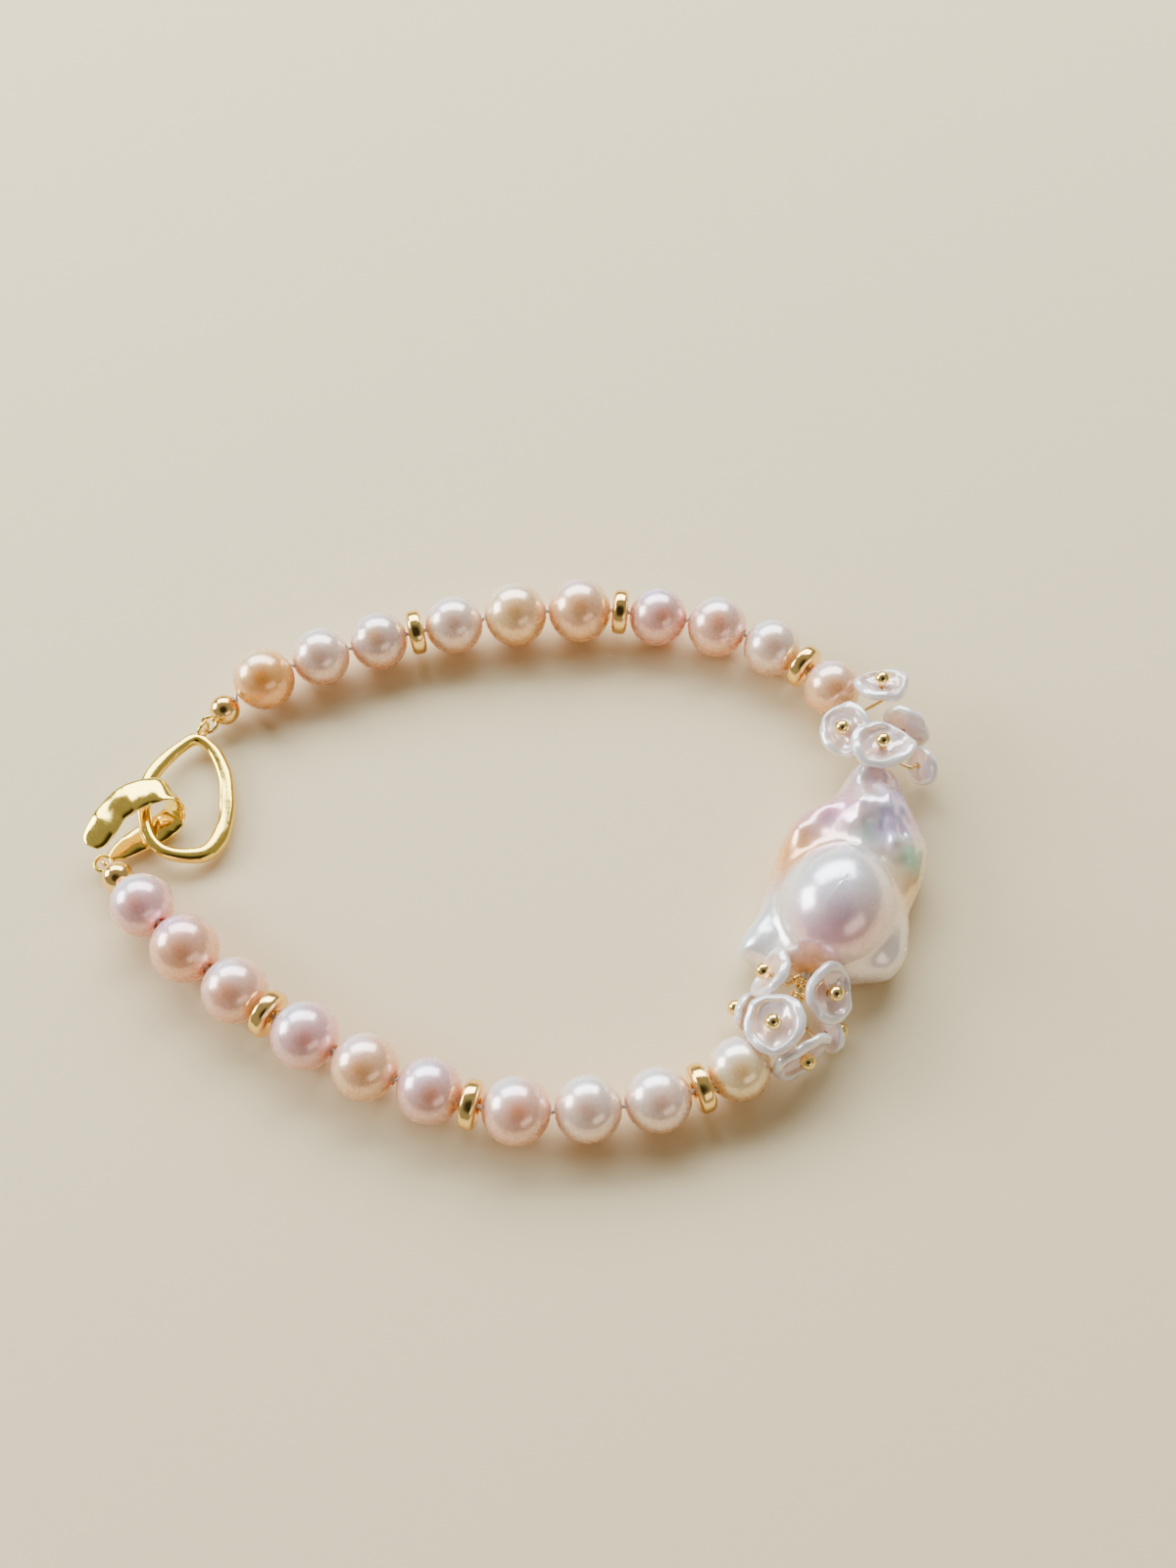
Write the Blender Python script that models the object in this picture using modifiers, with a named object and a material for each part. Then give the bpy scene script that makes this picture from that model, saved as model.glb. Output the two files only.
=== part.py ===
"""Pearl bracelet: two rows of drilled pearls with gold spacers, a flanged baroque pearl between two clusters of keshi
petals on head pins, and a hammered hook that holds a pear-shaped ring.

Metres, +Z up. The bracelet lies as a closed loop on the plane z = 0, with the clasp towards -X and the baroque pearl
towards +X, and the middle of its box at the origin.
"""

import math

import bmesh
import bpy
import numpy as np
from mathutils import Matrix, Vector

MM = 0.001

# Pearls and spacers
PEARL_DIAMETER = 6.0 * MM
PEARL_HOLE = 1.1 * MM
BEAD_GAP = 0.15 * MM
SPACER_DIAMETER = 4.5 * MM
SPACER_LENGTH = 1.55 * MM
SPACER_HOLE = 1.2 * MM

# Thread and end beads
THREAD_DIAMETER = 0.4 * MM
END_BEAD_DIAMETER = 3.0 * MM
END_BEAD_RISE = 0.2 * MM
LOOP_RADIUS = 0.8 * MM
LOOP_WIRE = 0.42 * MM
FLOOR_GAP = 0.03 * MM

# Baroque pearl, measured between the two ends of its drill hole
BAROQUE_LENGTH = 22.4 * MM
BAROQUE_TURN = math.radians(71.8)
BAROQUE_HOLE = 1.2 * MM
BAROQUE_RIM_HEIGHT = 2.6 * MM
FLANGE_THICKNESS = 4.0 * MM
FLANGE_RISE = FLANGE_THICKNESS - 0.4 * BAROQUE_RIM_HEIGHT
DOME_RADIUS = 5.8 * MM
DOME_HEIGHT = 10.2 * MM
DOME_NARROWING = 0.88
DOME_BLEND = 0.8 * MM
DOME_SKIRT_SLOPE = 3.0
DOME_ACROSS = 0.04
DOME_ALONG = -0.21
POLE_SHARE = 0.02
UNDERSIDE_DISH = 0.9
HOLE_OVERRUN = 1.3

# Petal clusters
CLUSTER_1_LENGTH = 6.6 * MM
CLUSTER_2_LENGTH = 7.9 * MM
PETAL_WIDTH = 5.2 * MM
PETAL_THICKNESS = 0.75 * MM
RIM_WAVES = (0.03, 0.022)
CUP_WAVES = (0.05, 0.025)
PHASE_STEP = 1.3
PIN_WIRE = 0.36 * MM
PIN_BALL = 1.5 * MM
PIN_CLEARANCE = 0.14 * MM
PIN_HEIGHT = 3.0 * MM
PIN_NECK = 1.3
PIN_LEAD = 0.5 * MM
PIN_SEAT = 0.1 * MM
PIN_LOOP_TURNS = (70, 330)

# Clasp
RING_LENGTH = 12.9 * MM
RING_WIDTH = 7.8 * MM
RING_BAND = 1.5 * MM
RING_HEIGHT = 1.2 * MM
RING_TILT_ROOM = 0.1 * RING_BAND
HOOK_LENGTH = 8.3 * MM
HOOK_OPENING = 3.15 * MM
HOOK_RIBBON = 3.0 * MM
HOOK_THICKNESS = 0.85 * MM
CLASP_CLEARANCE = 0.3 * MM

TURNED_SIDES = 14
BAROQUE_SIDES = 36
DOME_RINGS = (0.35, 0.66, 0.87, 1.0)
FLANGE_RINGS = (0.4, 0.75, 0.94)
DOME_FOOT = 1.08
FOOT_LIMIT = 0.86
PETAL_SIDES = 14

# The string's chosen points, from each end of the baroque pearl's hole to the eye of the clasp piece
FAR_ROUTE = [
    (0.0, 0.0), (-0.9, 4.3), (-2.65, 8.85), (-8.1, 13.55), (-13.5, 16.1), (-23.2, 18.0), (-33.6, 17.75),
    (-43.5, 15.95), (-52.9, 13.05), (-58.5, 10.3), (-61.95, 7.9), (-64.2, 5.8),
]
NEAR_ROUTE = [
    (0.0, 0.0), (-2.4, -4.2), (-6.6, -8.75), (-13.95, -11.5), (-26.2, -12.3), (-33.5, -10.3), (-39.2, -8.05),
    (-48.3, -2.85), (-56.2, 3.5), (-60.8, 8.2), (-64.1, 12.0), (-66.0, 13.7),
]

NACRE = {
    "gold_peach": (0.87, 0.60, 0.36), "peach": (0.93, 0.75, 0.60), "cream": (0.94, 0.84, 0.70),
    "white": (0.93, 0.87, 0.86), "lavender": (0.82, 0.70, 0.72), "mauve": (0.80, 0.64, 0.66),
    "rose": (0.93, 0.78, 0.74),
}
GOLD = (1.0, 0.78, 0.36)
PETAL_COLOUR = (0.93, 0.89, 0.90)
BAROQUE_COLOUR = (0.90, 0.85, 0.84)

# (kind, colour, share of the pearl diameter across, share along the thread); a spacer has no shares
FAR_ROW = [
    ("pearl", "rose", 0.933, 0.920), ("spacer",), ("pearl", "white", 0.947, 0.935),
    ("pearl", "peach", 1.007, 0.985), ("pearl", "lavender", 0.973, 0.965), ("spacer",),
    ("pearl", "peach", 1.087, 1.050), ("pearl", "gold_peach", 1.073, 1.050), ("pearl", "white", 0.970, 0.975),
    ("spacer",), ("pearl", "lavender", 0.963, 0.965), ("pearl", "white", 0.977, 0.960),
    ("pearl", "gold_peach", 1.027, 1.010),
]
NEAR_ROW = [
    ("pearl", "cream", 0.950, 0.955), ("spacer",), ("pearl", "white", 0.977, 0.985),
    ("pearl", "rose", 1.003, 0.990), ("pearl", "peach", 1.023, 1.025), ("spacer",),
    ("pearl", "mauve", 0.990, 0.985), ("pearl", "peach", 1.020, 1.005), ("pearl", "mauve", 1.030, 1.025),
    ("spacer",), ("pearl", "rose", 1.010, 1.010), ("pearl", "gold_peach", 1.057, 1.060),
    ("pearl", "lavender", 0.987, 1.000),
]

# Outline of the baroque pearl about its dome: (turn from the across axis in degrees, reach as a share of the length,
# rim height as a share of the rim height)
BAROQUE_OUTLINE = [
    (2, 0.304, 0.9), (19, 0.300, 0.9), (33, 0.350, 0.85), (41, 0.404, 0.8), (50, 0.471, 0.8), (58, 0.518, 0.85),
    (66, 0.551, 0.9), (74, 0.600, 1.0), (82, 0.690, 1.1), (86, 0.722, 1.15), (90, 0.725, 1.15), (94, 0.715, 1.15),
    (98, 0.675, 1.15), (103, 0.570, 1.1), (109, 0.505, 1.0), (119, 0.497, 0.9), (128, 0.456, 0.85),
    (139, 0.393, 0.8), (156, 0.327, 0.8), (177, 0.303, 0.8), (196, 0.314, 0.8), (213, 0.400, 0.75),
    (221, 0.427, 0.75), (229, 0.390, 0.8), (240, 0.352, 0.95), (251, 0.320, 1.1), (277, 0.275, 0.9),
    (295, 0.283, 0.8), (312, 0.303, 0.8), (326, 0.333, 0.8), (342, 0.330, 0.85),
]

# Raised lobes of the baroque pearl: (across share, along share, radius share, height as a share of the flange)
BAROQUE_LOBES = [
    (0.000, 0.440, 0.075, 0.42), (0.190, 0.300, 0.085, 0.40), (0.265, 0.120, 0.090, 0.28),
    (0.050, 0.230, 0.100, 0.34), (-0.120, 0.215, 0.060, 0.32), (-0.215, 0.090, 0.065, 0.25),
    (-0.250, -0.200, 0.080, 0.12),
]

# Each petal: (name, cluster, thread share, hole place past the thread along X and Y and above the floor as shares of
# the petal width, way the petal faces in degrees, its tilt from flat, width share, length share, cup share, roll in
# degrees). Past a tilt of 90 the pin's ball is on the side turned down.
PETALS = [
    ("a", 1, 0.12, (0.56, 0.33, 0.98), 95, 24, 0.98, 0.90, 0.14, 0),
    ("b", 1, 0.52, (-0.24, 0.03, 0.85), 205, 34, 0.96, 1.04, 0.13, 20),
    ("c", 1, 0.90, (0.19, -0.14, 1.27), 80, 10, 1.14, 0.98, 0.15, 0),
    ("d", 1, 0.32, (0.87, -0.16, 0.78), 60, 98, 0.96, 0.86, 0.14, 30),
    ("e", 1, 0.71, (1.04, -0.28, 0.48), 20, 112, 0.72, 0.76, 0.12, 0),
    ("f", 2, 0.10, (-0.53, -0.05, 0.93), 160, 60, 0.92, 0.86, 0.13, 30),
    ("g", 2, 0.60, (-0.60, 0.18, 0.42), 150, 105, 0.66, 0.68, 0.10, 0),
    ("h", 2, 0.78, (-0.02, -0.10, 1.13), 205, 20, 1.04, 1.02, 0.14, 40),
    ("i", 2, 0.27, (0.45, -0.11, 0.93), -30, 44, 0.96, 1.04, 0.15, 0),
    ("j", 2, 0.93, (0.52, -0.20, 0.60), -55, 84, 1.20, 0.82, 0.12, 25),
    ("k", 2, 0.50, (0.68, -0.31, 0.34), 20, 108, 0.66, 0.70, 0.10, 0),
]

# Outline of the clasp ring: (across share of the width, along share of the length, share of the band's width)
RING_OUTLINE = [
    (0.200, 0.497, 0.80), (0.395, 0.372, 0.84), (0.495, 0.163, 1.02), (0.500, -0.030, 1.08), (0.455, -0.236, 1.12),
    (0.335, -0.405, 1.22), (0.165, -0.492, 1.16), (-0.085, -0.487, 0.94), (-0.315, -0.428, 0.86),
    (-0.462, -0.305, 0.88), (-0.500, -0.140, 0.92), (-0.485, 0.030, 1.00), (-0.410, 0.180, 1.06),
    (-0.255, 0.310, 1.00), (-0.030, 0.430, 0.86),
]
RING_GRIP = (-0.495, -0.120)
RING_EYE_TURN = math.radians(54)

# Centreline of the hook from tip to eye, about the gripped strand: (along and across shares of the length, height
# share of the opening, ribbon width share, thickness share)
HOOK_ROUTE = [
    (-0.600, -0.370, 0.810, 0.50, 0.65), (-0.540, -0.290, 0.865, 0.92, 0.95), (-0.420, -0.135, 0.945, 1.05, 1.05),
    (-0.300, 0.010, 0.985, 1.00, 0.90), (-0.150, 0.105, 1.030, 1.10, 1.10), (0.050, 0.175, 1.010, 1.05, 0.95),
    (0.250, 0.175, 0.940, 0.95, 1.00), (0.350, 0.135, 0.740, 0.95, 0.95), (0.355, 0.075, 0.440, 0.95, 0.95),
    (0.315, 0.005, 0.160, 0.98, 1.00), (0.215, -0.065, 0.030, 1.00, 1.00), (0.045, -0.145, 0.000, 0.98, 1.00),
    (-0.150, -0.230, 0.010, 0.92, 1.00), (-0.330, -0.325, 0.045, 0.70, 0.90), (-0.450, -0.400, 0.080, 0.34, 0.70),
]
HOOK_ACROSS = (0.55, -0.835, 0.0)


def material(name, colour, roughness, metallic):
    """Principled material with one colour, roughness and metallic value."""
    found = bpy.data.materials.get(name)
    if found:
        return found
    made = bpy.data.materials.new(name)
    made.use_nodes = True
    shader = made.node_tree.nodes["Principled BSDF"]
    shader.inputs["Base Color"].default_value = (*colour, 1.0)
    shader.inputs["Roughness"].default_value = roughness
    shader.inputs["Metallic"].default_value = metallic
    return made


def gold():
    return material("polished_gold", GOLD, 0.15, 1.0)


def add_object(name, mesh, collection, finish=None):
    """Object of this mesh in the collection, shaded smooth with sharp creases kept."""
    made = bpy.data.objects.new(name, mesh)
    collection.objects.link(made)
    if finish:
        mesh.materials.append(finish)
    mesh.shade_smooth()
    mesh.set_sharp_from_angle(angle=math.radians(50))
    return made


def mesh_from_bmesh(name, built):
    """Mesh of this bmesh, which is freed."""
    mesh = bpy.data.meshes.new(name)
    built.to_mesh(mesh)
    built.free()
    return mesh


def smooth_curve(points, closed=False, steps=12):
    """Points of a Catmull-Rom curve through the chosen points, steps to each span. Columns may be any values."""
    chosen = np.asarray(points, dtype=float)
    count = len(chosen)
    if closed:
        padded = np.vstack([chosen[-1], chosen, chosen[0], chosen[1]])
        spans = count
    else:
        padded = np.vstack([2 * chosen[0] - chosen[1], chosen, 2 * chosen[-1] - chosen[-2]])
        spans = count - 1
    t = (np.arange(steps) / steps)[:, None]
    found = []
    for i in range(spans):
        before, start, end, after = padded[i:i + 4]
        slope, rise = end - before, 2 * before - 5 * start + 4 * end - after
        found.append(0.5 * (2 * start + slope * t + rise * t ** 2 + (3 * (start - end) + after - before) * t ** 3))
    if not closed:
        found.append(chosen[-1:])
    return np.vstack(found)


class Route:
    """Curve that is read by the length along it. Past its end it runs on straight."""

    def __init__(self, points):
        self.points = np.asarray(points, dtype=float)
        steps = np.linalg.norm(np.diff(self.points, axis=0), axis=1)
        self.arc = np.concatenate([[0.0], np.cumsum(steps)])

    def at(self, arc):
        place = np.array([np.interp(arc, self.arc, column) for column in self.points.T])
        last = self.points[-1] - self.points[-2]
        return place + max(0.0, arc - self.arc[-1]) * last / np.linalg.norm(last)


def turned(name, profile, collection, finish, closed):
    """Solid turned about Z from a profile of (radius, height) that runs down its outer side."""
    built = bmesh.new()
    corners = [built.verts.new((radius, 0.0, height)) for radius, height in profile]
    for start, end in zip(corners, corners[1:]):
        built.edges.new((start, end))
    if closed:
        built.edges.new((corners[-1], corners[0]))
    made = add_object(name, mesh_from_bmesh(name, built), collection, finish)
    screw = made.modifiers.new("turn", "SCREW")
    screw.steps = TURNED_SIDES
    screw.render_steps = TURNED_SIDES
    screw.use_merge_vertices = True
    screw.merge_threshold = 0.005 * MM
    screw.use_smooth_shade = True
    return made


def arc_profile(across, along, hole, count):
    """(radius, height) points down a rounded bead from one end of its hole to the other."""
    opening = math.asin(min(1.0, hole / across))
    angles = np.linspace(opening, math.pi - opening, count)
    return [(across / 2 * math.sin(a), along / 2 * math.cos(a)) for a in angles]


def aim(made, place, axis):
    """Puts the object at the place with its own Z along the axis."""
    made.rotation_mode = "QUATERNION"
    made.rotation_quaternion = Vector(axis).to_track_quat("Z", "Y")
    made.location = Vector(place)


def wire_object(name, points, thickness, collection, closed=False):
    """Round wire along these points, as a mesh whose caps are welded."""
    curve = bpy.data.curves.new(name, "CURVE")
    curve.dimensions = "3D"
    curve.bevel_depth = thickness / 2
    curve.bevel_resolution = 1
    curve.use_fill_caps = True
    spline = curve.splines.new("POLY")
    spline.points.add(len(points) - 1)
    for point, place in zip(spline.points, points):
        point.co = (*place, 1.0)
    spline.use_cyclic_u = closed
    guide = bpy.data.objects.new(name + "_guide", curve)
    bpy.context.scene.collection.objects.link(guide)
    bpy.context.view_layer.update()
    mesh = bpy.data.meshes.new_from_object(guide.evaluated_get(bpy.context.evaluated_depsgraph_get()))
    placed = guide.matrix_world.copy()
    bpy.data.objects.remove(guide)
    built = bmesh.new()
    built.from_mesh(mesh)
    bmesh.ops.remove_doubles(built, verts=built.verts, dist=0.001 * MM)
    bmesh.ops.recalc_face_normals(built, faces=built.faces)
    built.to_mesh(mesh)
    built.free()
    mesh.name = name
    made = add_object(name, mesh, collection)
    made.matrix_world = placed
    return made


def boolean(made, other, operation):
    """Union or difference with a hidden helper object."""
    other.hide_render = True
    other.display_type = "WIRE"
    step = made.modifiers.new(operation.lower() + "_" + other.name, "BOOLEAN")
    step.operation = operation
    step.solver = "EXACT"
    step.object = other


def loft(name, rings, collection, finish, closed):
    """Skin over rings of points, each a row of the array: closed into a loop, or capped at both ends."""
    count, around = rings.shape[:2]
    built = bmesh.new()
    corners = [[built.verts.new(point) for point in ring] for ring in rings]
    for i in range(count if closed else count - 1):
        ring, following = corners[i], corners[(i + 1) % count]
        for j in range(around):
            beside = (j + 1) % around
            built.faces.new((ring[j], ring[beside], following[beside], following[j]))
    if not closed:
        built.faces.new(corners[0])
        built.faces.new(corners[-1])
    bmesh.ops.recalc_face_normals(built, faces=built.faces)
    return add_object(name, mesh_from_bmesh(name, built), collection, finish)


def band_rings(points, widths, heights, across, closed):
    """Eight-sided rounded sections of these widths and heights along the points, their width towards
    across, or level where across is None."""
    ahead = np.roll(points, -1, axis=0) - np.roll(points, 1, axis=0)
    if not closed:
        ahead[0], ahead[-1] = points[1] - points[0], points[-1] - points[-2]
    ahead /= np.linalg.norm(ahead, axis=1)[:, None]
    turns = math.radians(22.5) + np.arange(8) * math.pi / 4
    shape = np.column_stack([np.cos(turns), np.sin(turns)])
    shape = np.sign(shape) * np.abs(shape) ** 0.75
    shape /= np.abs(shape).max()
    rings = []
    for place, way, width, height in zip(points, ahead, widths, heights):
        side = np.cross(way, (0.0, 0.0, 1.0)) if across is None else across - way * np.dot(across, way)
        side /= np.linalg.norm(side)
        rise = np.cross(way, side)
        rings.append(place + shape[:, :1] * width / 2 * side + shape[:, 1:] * height / 2 * rise)
    return np.array(rings)


def row_lengths(row):
    """Length of each bead of a row along the thread."""
    return [SPACER_LENGTH if bead[0] == "spacer" else bead[3] * PEARL_DIAMETER for bead in row]


def row_places(row, start):
    """Arc of each bead's middle along its route, and the arc of the end bead's middle."""
    places, reached = [], start
    for length in row_lengths(row):
        places.append(reached + BEAD_GAP + length / 2)
        reached += BEAD_GAP + length
    return places, reached + BEAD_GAP + END_BEAD_DIAMETER / 2


class Clasp:
    """Places in the clasp's own frame: the gripped strand at the origin, the hook's length along X."""

    def __init__(self):
        self.arm_height = HOOK_THICKNESS / 2 + FLOOR_GAP
        self.strand_height = self.arm_height + HOOK_THICKNESS / 2 + CLASP_CLEARANCE + RING_HEIGHT / 2
        self.rest_height = RING_HEIGHT / 2 + FLOOR_GAP + RING_TILT_ROOM
        top_across, top_along, top_band = RING_OUTLINE[0]
        outward = np.array([math.cos(RING_EYE_TURN), math.sin(RING_EYE_TURN), 0.0])
        seat = top_band * RING_BAND / 2 + LOOP_RADIUS - LOOP_WIRE / 2
        self.ring_eye = self.ring_point(top_across, top_along) + seat * outward
        end, before = self.hook_point(*HOOK_ROUTE[-1][:3]), self.hook_point(*HOOK_ROUTE[-2][:3])
        self.hook_eye = end + (end - before) * (1, 1, 0) / np.linalg.norm((end - before)[:2]) * LOOP_RADIUS
        self.reach = float(np.linalg.norm((self.ring_eye - self.hook_eye)[:2]))

    def ring_point(self, across, along):
        """Point of the tilted ring: its right side rests low and its left strand lies in the hook."""
        rise = (self.strand_height - self.rest_height) * (0.5 - across)
        return np.array([
            (across - RING_GRIP[0]) * RING_WIDTH, (along - RING_GRIP[1]) * RING_LENGTH, self.rest_height + rise,
        ])

    def hook_point(self, along, across, height):
        return np.array([along * HOOK_LENGTH, across * HOOK_LENGTH, self.arm_height + height * HOOK_OPENING])


class Layout:
    """Where everything on the string lies once the loop is closed through the clasp."""

    def __init__(self, clasp):
        self.clasp = clasp
        along = np.array([math.cos(BAROQUE_TURN), math.sin(BAROQUE_TURN)])
        self.neck, self.foot = along * BAROQUE_LENGTH / 2, -along * BAROQUE_LENGTH / 2
        self.along, self.across = along, np.array([along[1], -along[0]])
        self.end_height = END_BEAD_DIAMETER / 2 + END_BEAD_RISE
        low, high = 0.6, 1.6
        for _ in range(40):
            self.open_by((low + high) / 2)
            if np.linalg.norm(self.far_eye - self.near_eye) < clasp.reach:
                low = (low + high) / 2
            else:
                high = (low + high) / 2

    def open_by(self, share):
        """Routes at this share of their drawn size, and the eyes that the rows then reach."""
        self.far = Route(self.neck + share * MM * smooth_curve(FAR_ROUTE))
        self.near = Route(self.foot + share * MM * smooth_curve(NEAR_ROUTE))
        self.far_places, self.far_end = row_places(FAR_ROW, CLUSTER_1_LENGTH)
        self.near_places, self.near_end = row_places(NEAR_ROW, CLUSTER_2_LENGTH)
        self.far_eye = self.far.at(self.far_end + self.level_reach(self.clasp.ring_eye))
        self.near_eye = self.near.at(self.near_end + self.level_reach(self.clasp.hook_eye))

    def level_reach(self, eye):
        """How far along the floor an end bead's middle lies from the eye that its wire loop passes through."""
        reach = END_BEAD_DIAMETER / 2 + 2 * LOOP_RADIUS - LOOP_WIRE / 2
        return math.sqrt(max(0.0, reach ** 2 - (self.end_height - eye[2]) ** 2))

    def clasp_matrix(self):
        """Turns and moves the clasp's frame so that its two eyes meet the two rows."""
        own = (self.clasp.hook_eye - self.clasp.ring_eye)[:2]
        laid = self.near_eye - self.far_eye
        turn = math.atan2(laid[1], laid[0]) - math.atan2(own[1], own[0])
        spin = Matrix.Rotation(turn, 4, "Z")
        moved = Vector((*self.far_eye, 0.0)) - spin @ Vector((*self.clasp.ring_eye[:2], 0.0))
        return Matrix.Translation(moved) @ spin

    def row(self, beads, route, places, stretch, end):
        """Centres along one row, from the middle of its petal cluster's thread to its end bead."""
        centres = [(*route.at(stretch / 2), PIN_HEIGHT)]
        centres += row_centres(beads, route, places)
        centres.append((*route.at(end), self.end_height))
        return np.array(centres)


def row_centres(row, route, places):
    """Centre of each bead: a pearl rests on the floor, and a spacer rides level with the pearls beside it."""
    heights = [None if bead[0] == "spacer" else bead[2] * PEARL_DIAMETER / 2 + FLOOR_GAP for bead in row]
    known = [i for i, height in enumerate(heights) if height is not None]
    levels = np.interp(range(len(row)), known, [heights[i] for i in known])
    return [(*route.at(place), level) for place, level in zip(places, levels)]


def way_at(centres, i):
    """Direction of the string at one of its centres."""
    ahead, behind = centres[min(i + 1, len(centres) - 1)], centres[max(i - 1, 0)]
    return (ahead - behind) / np.linalg.norm(ahead - behind)


def make_pearl(name, bead, centre, way, collection):
    """Near-round drilled pearl."""
    _, colour, across, along = bead
    width, length = across * PEARL_DIAMETER, along * PEARL_DIAMETER
    profile = arc_profile(width, length, PEARL_HOLE, 9)
    finish = material("nacre_" + colour, NACRE[colour], 0.22, 0.0)
    aim(turned(name, profile, collection, finish, closed=True), centre, way)


def make_spacer(name, centre, way, collection):
    """Gold rondelle with a rounded rim."""
    hole, rim = SPACER_HOLE / 2, SPACER_DIAMETER / 2
    middle, half = (hole + rim) / 2, (rim - hole) / 2
    profile = []
    for a in np.linspace(math.pi * 0.86, -math.pi * 0.86, 8):
        across, high = math.cos(a), math.sin(a)
        profile.append((
            middle + half * math.copysign(abs(across) ** 0.8, across),
            SPACER_LENGTH / 2 * math.copysign(abs(high) ** 0.7, high),
        ))
    profile = [(max(radius, hole), height) for radius, height in profile]
    aim(turned(name, profile, collection, gold(), closed=True), centre, way)


def ring_points(centre, first, second, radius, count=12):
    """Points of a circle in the plane of two directions."""
    turns = 2 * math.pi * np.arange(count) / count
    return centre + radius * (np.cos(turns)[:, None] * first + np.sin(turns)[:, None] * second)


def make_end_bead(name, centre, inward, eye, flat, collection, helpers):
    """Gold bead with a blind bore for the thread and a wire loop that passes through the clasp's eye."""
    radius, bore = END_BEAD_DIAMETER / 2, PEARL_HOLE / 2
    opening = math.asin(bore / radius)
    profile = [(radius * math.sin(a), radius * math.cos(a)) for a in np.linspace(0, math.pi - opening, 9)]
    profile[0] = (0.0, radius)
    profile += [(bore, 0.0), (0.0, 0.0)]
    made = turned(name, profile, collection, gold(), closed=False)
    aim(made, centre, inward)
    outward = (eye - centre) / np.linalg.norm(eye - centre)
    upward = np.array([0.0, 0.0, 1.0])
    sideways = np.cross(upward, outward)
    sideways /= np.linalg.norm(sideways)
    second = sideways if flat else np.cross(outward, sideways)
    middle = eye - outward * LOOP_RADIUS
    loop = wire_object(name + "_loop", ring_points(middle, outward, second, LOOP_RADIUS), LOOP_WIRE, helpers, True)
    boolean(made, loop, "UNION")


def make_clasp(clasp, placed, collection, helpers):
    """Hammered pear-shaped ring with an upright eye, and the ribbon hook with a flat eye that grips it."""
    outline = smooth_curve(RING_OUTLINE, closed=True, steps=2)
    points = np.array([clasp.ring_point(across, along) for across, along, _ in outline])
    ring = loft("clasp_ring", band_rings(
        points, RING_BAND * outline[:, 2], RING_HEIGHT * (0.5 + 0.5 * outline[:, 2]), None, closed=True,
    ), collection, gold(), closed=True)
    outward = np.array([math.cos(RING_EYE_TURN), math.sin(RING_EYE_TURN), 0.0])
    upright = ring_points(clasp.ring_eye, outward, np.array([0.0, 0.0, 1.0]), LOOP_RADIUS)
    ring_eye = wire_object("clasp_ring_eye", upright, LOOP_WIRE, helpers, True)
    boolean(ring, ring_eye, "UNION")

    route = smooth_curve(HOOK_ROUTE, steps=2)
    points = np.array([clasp.hook_point(*row[:3]) for row in route])
    hook = loft("clasp_hook", band_rings(
        points, HOOK_RIBBON * route[:, 3], HOOK_THICKNESS * route[:, 4], np.array(HOOK_ACROSS), closed=False,
    ), collection, gold(), closed=False)
    flat = ring_points(clasp.hook_eye, np.array([1.0, 0.0, 0.0]), np.array([0.0, 1.0, 0.0]), LOOP_RADIUS)
    hook_eye = wire_object("clasp_hook_eye", flat, LOOP_WIRE, helpers, True)
    boolean(hook, hook_eye, "UNION")
    for made in (ring, ring_eye, hook, hook_eye):
        made.matrix_world = placed


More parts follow.
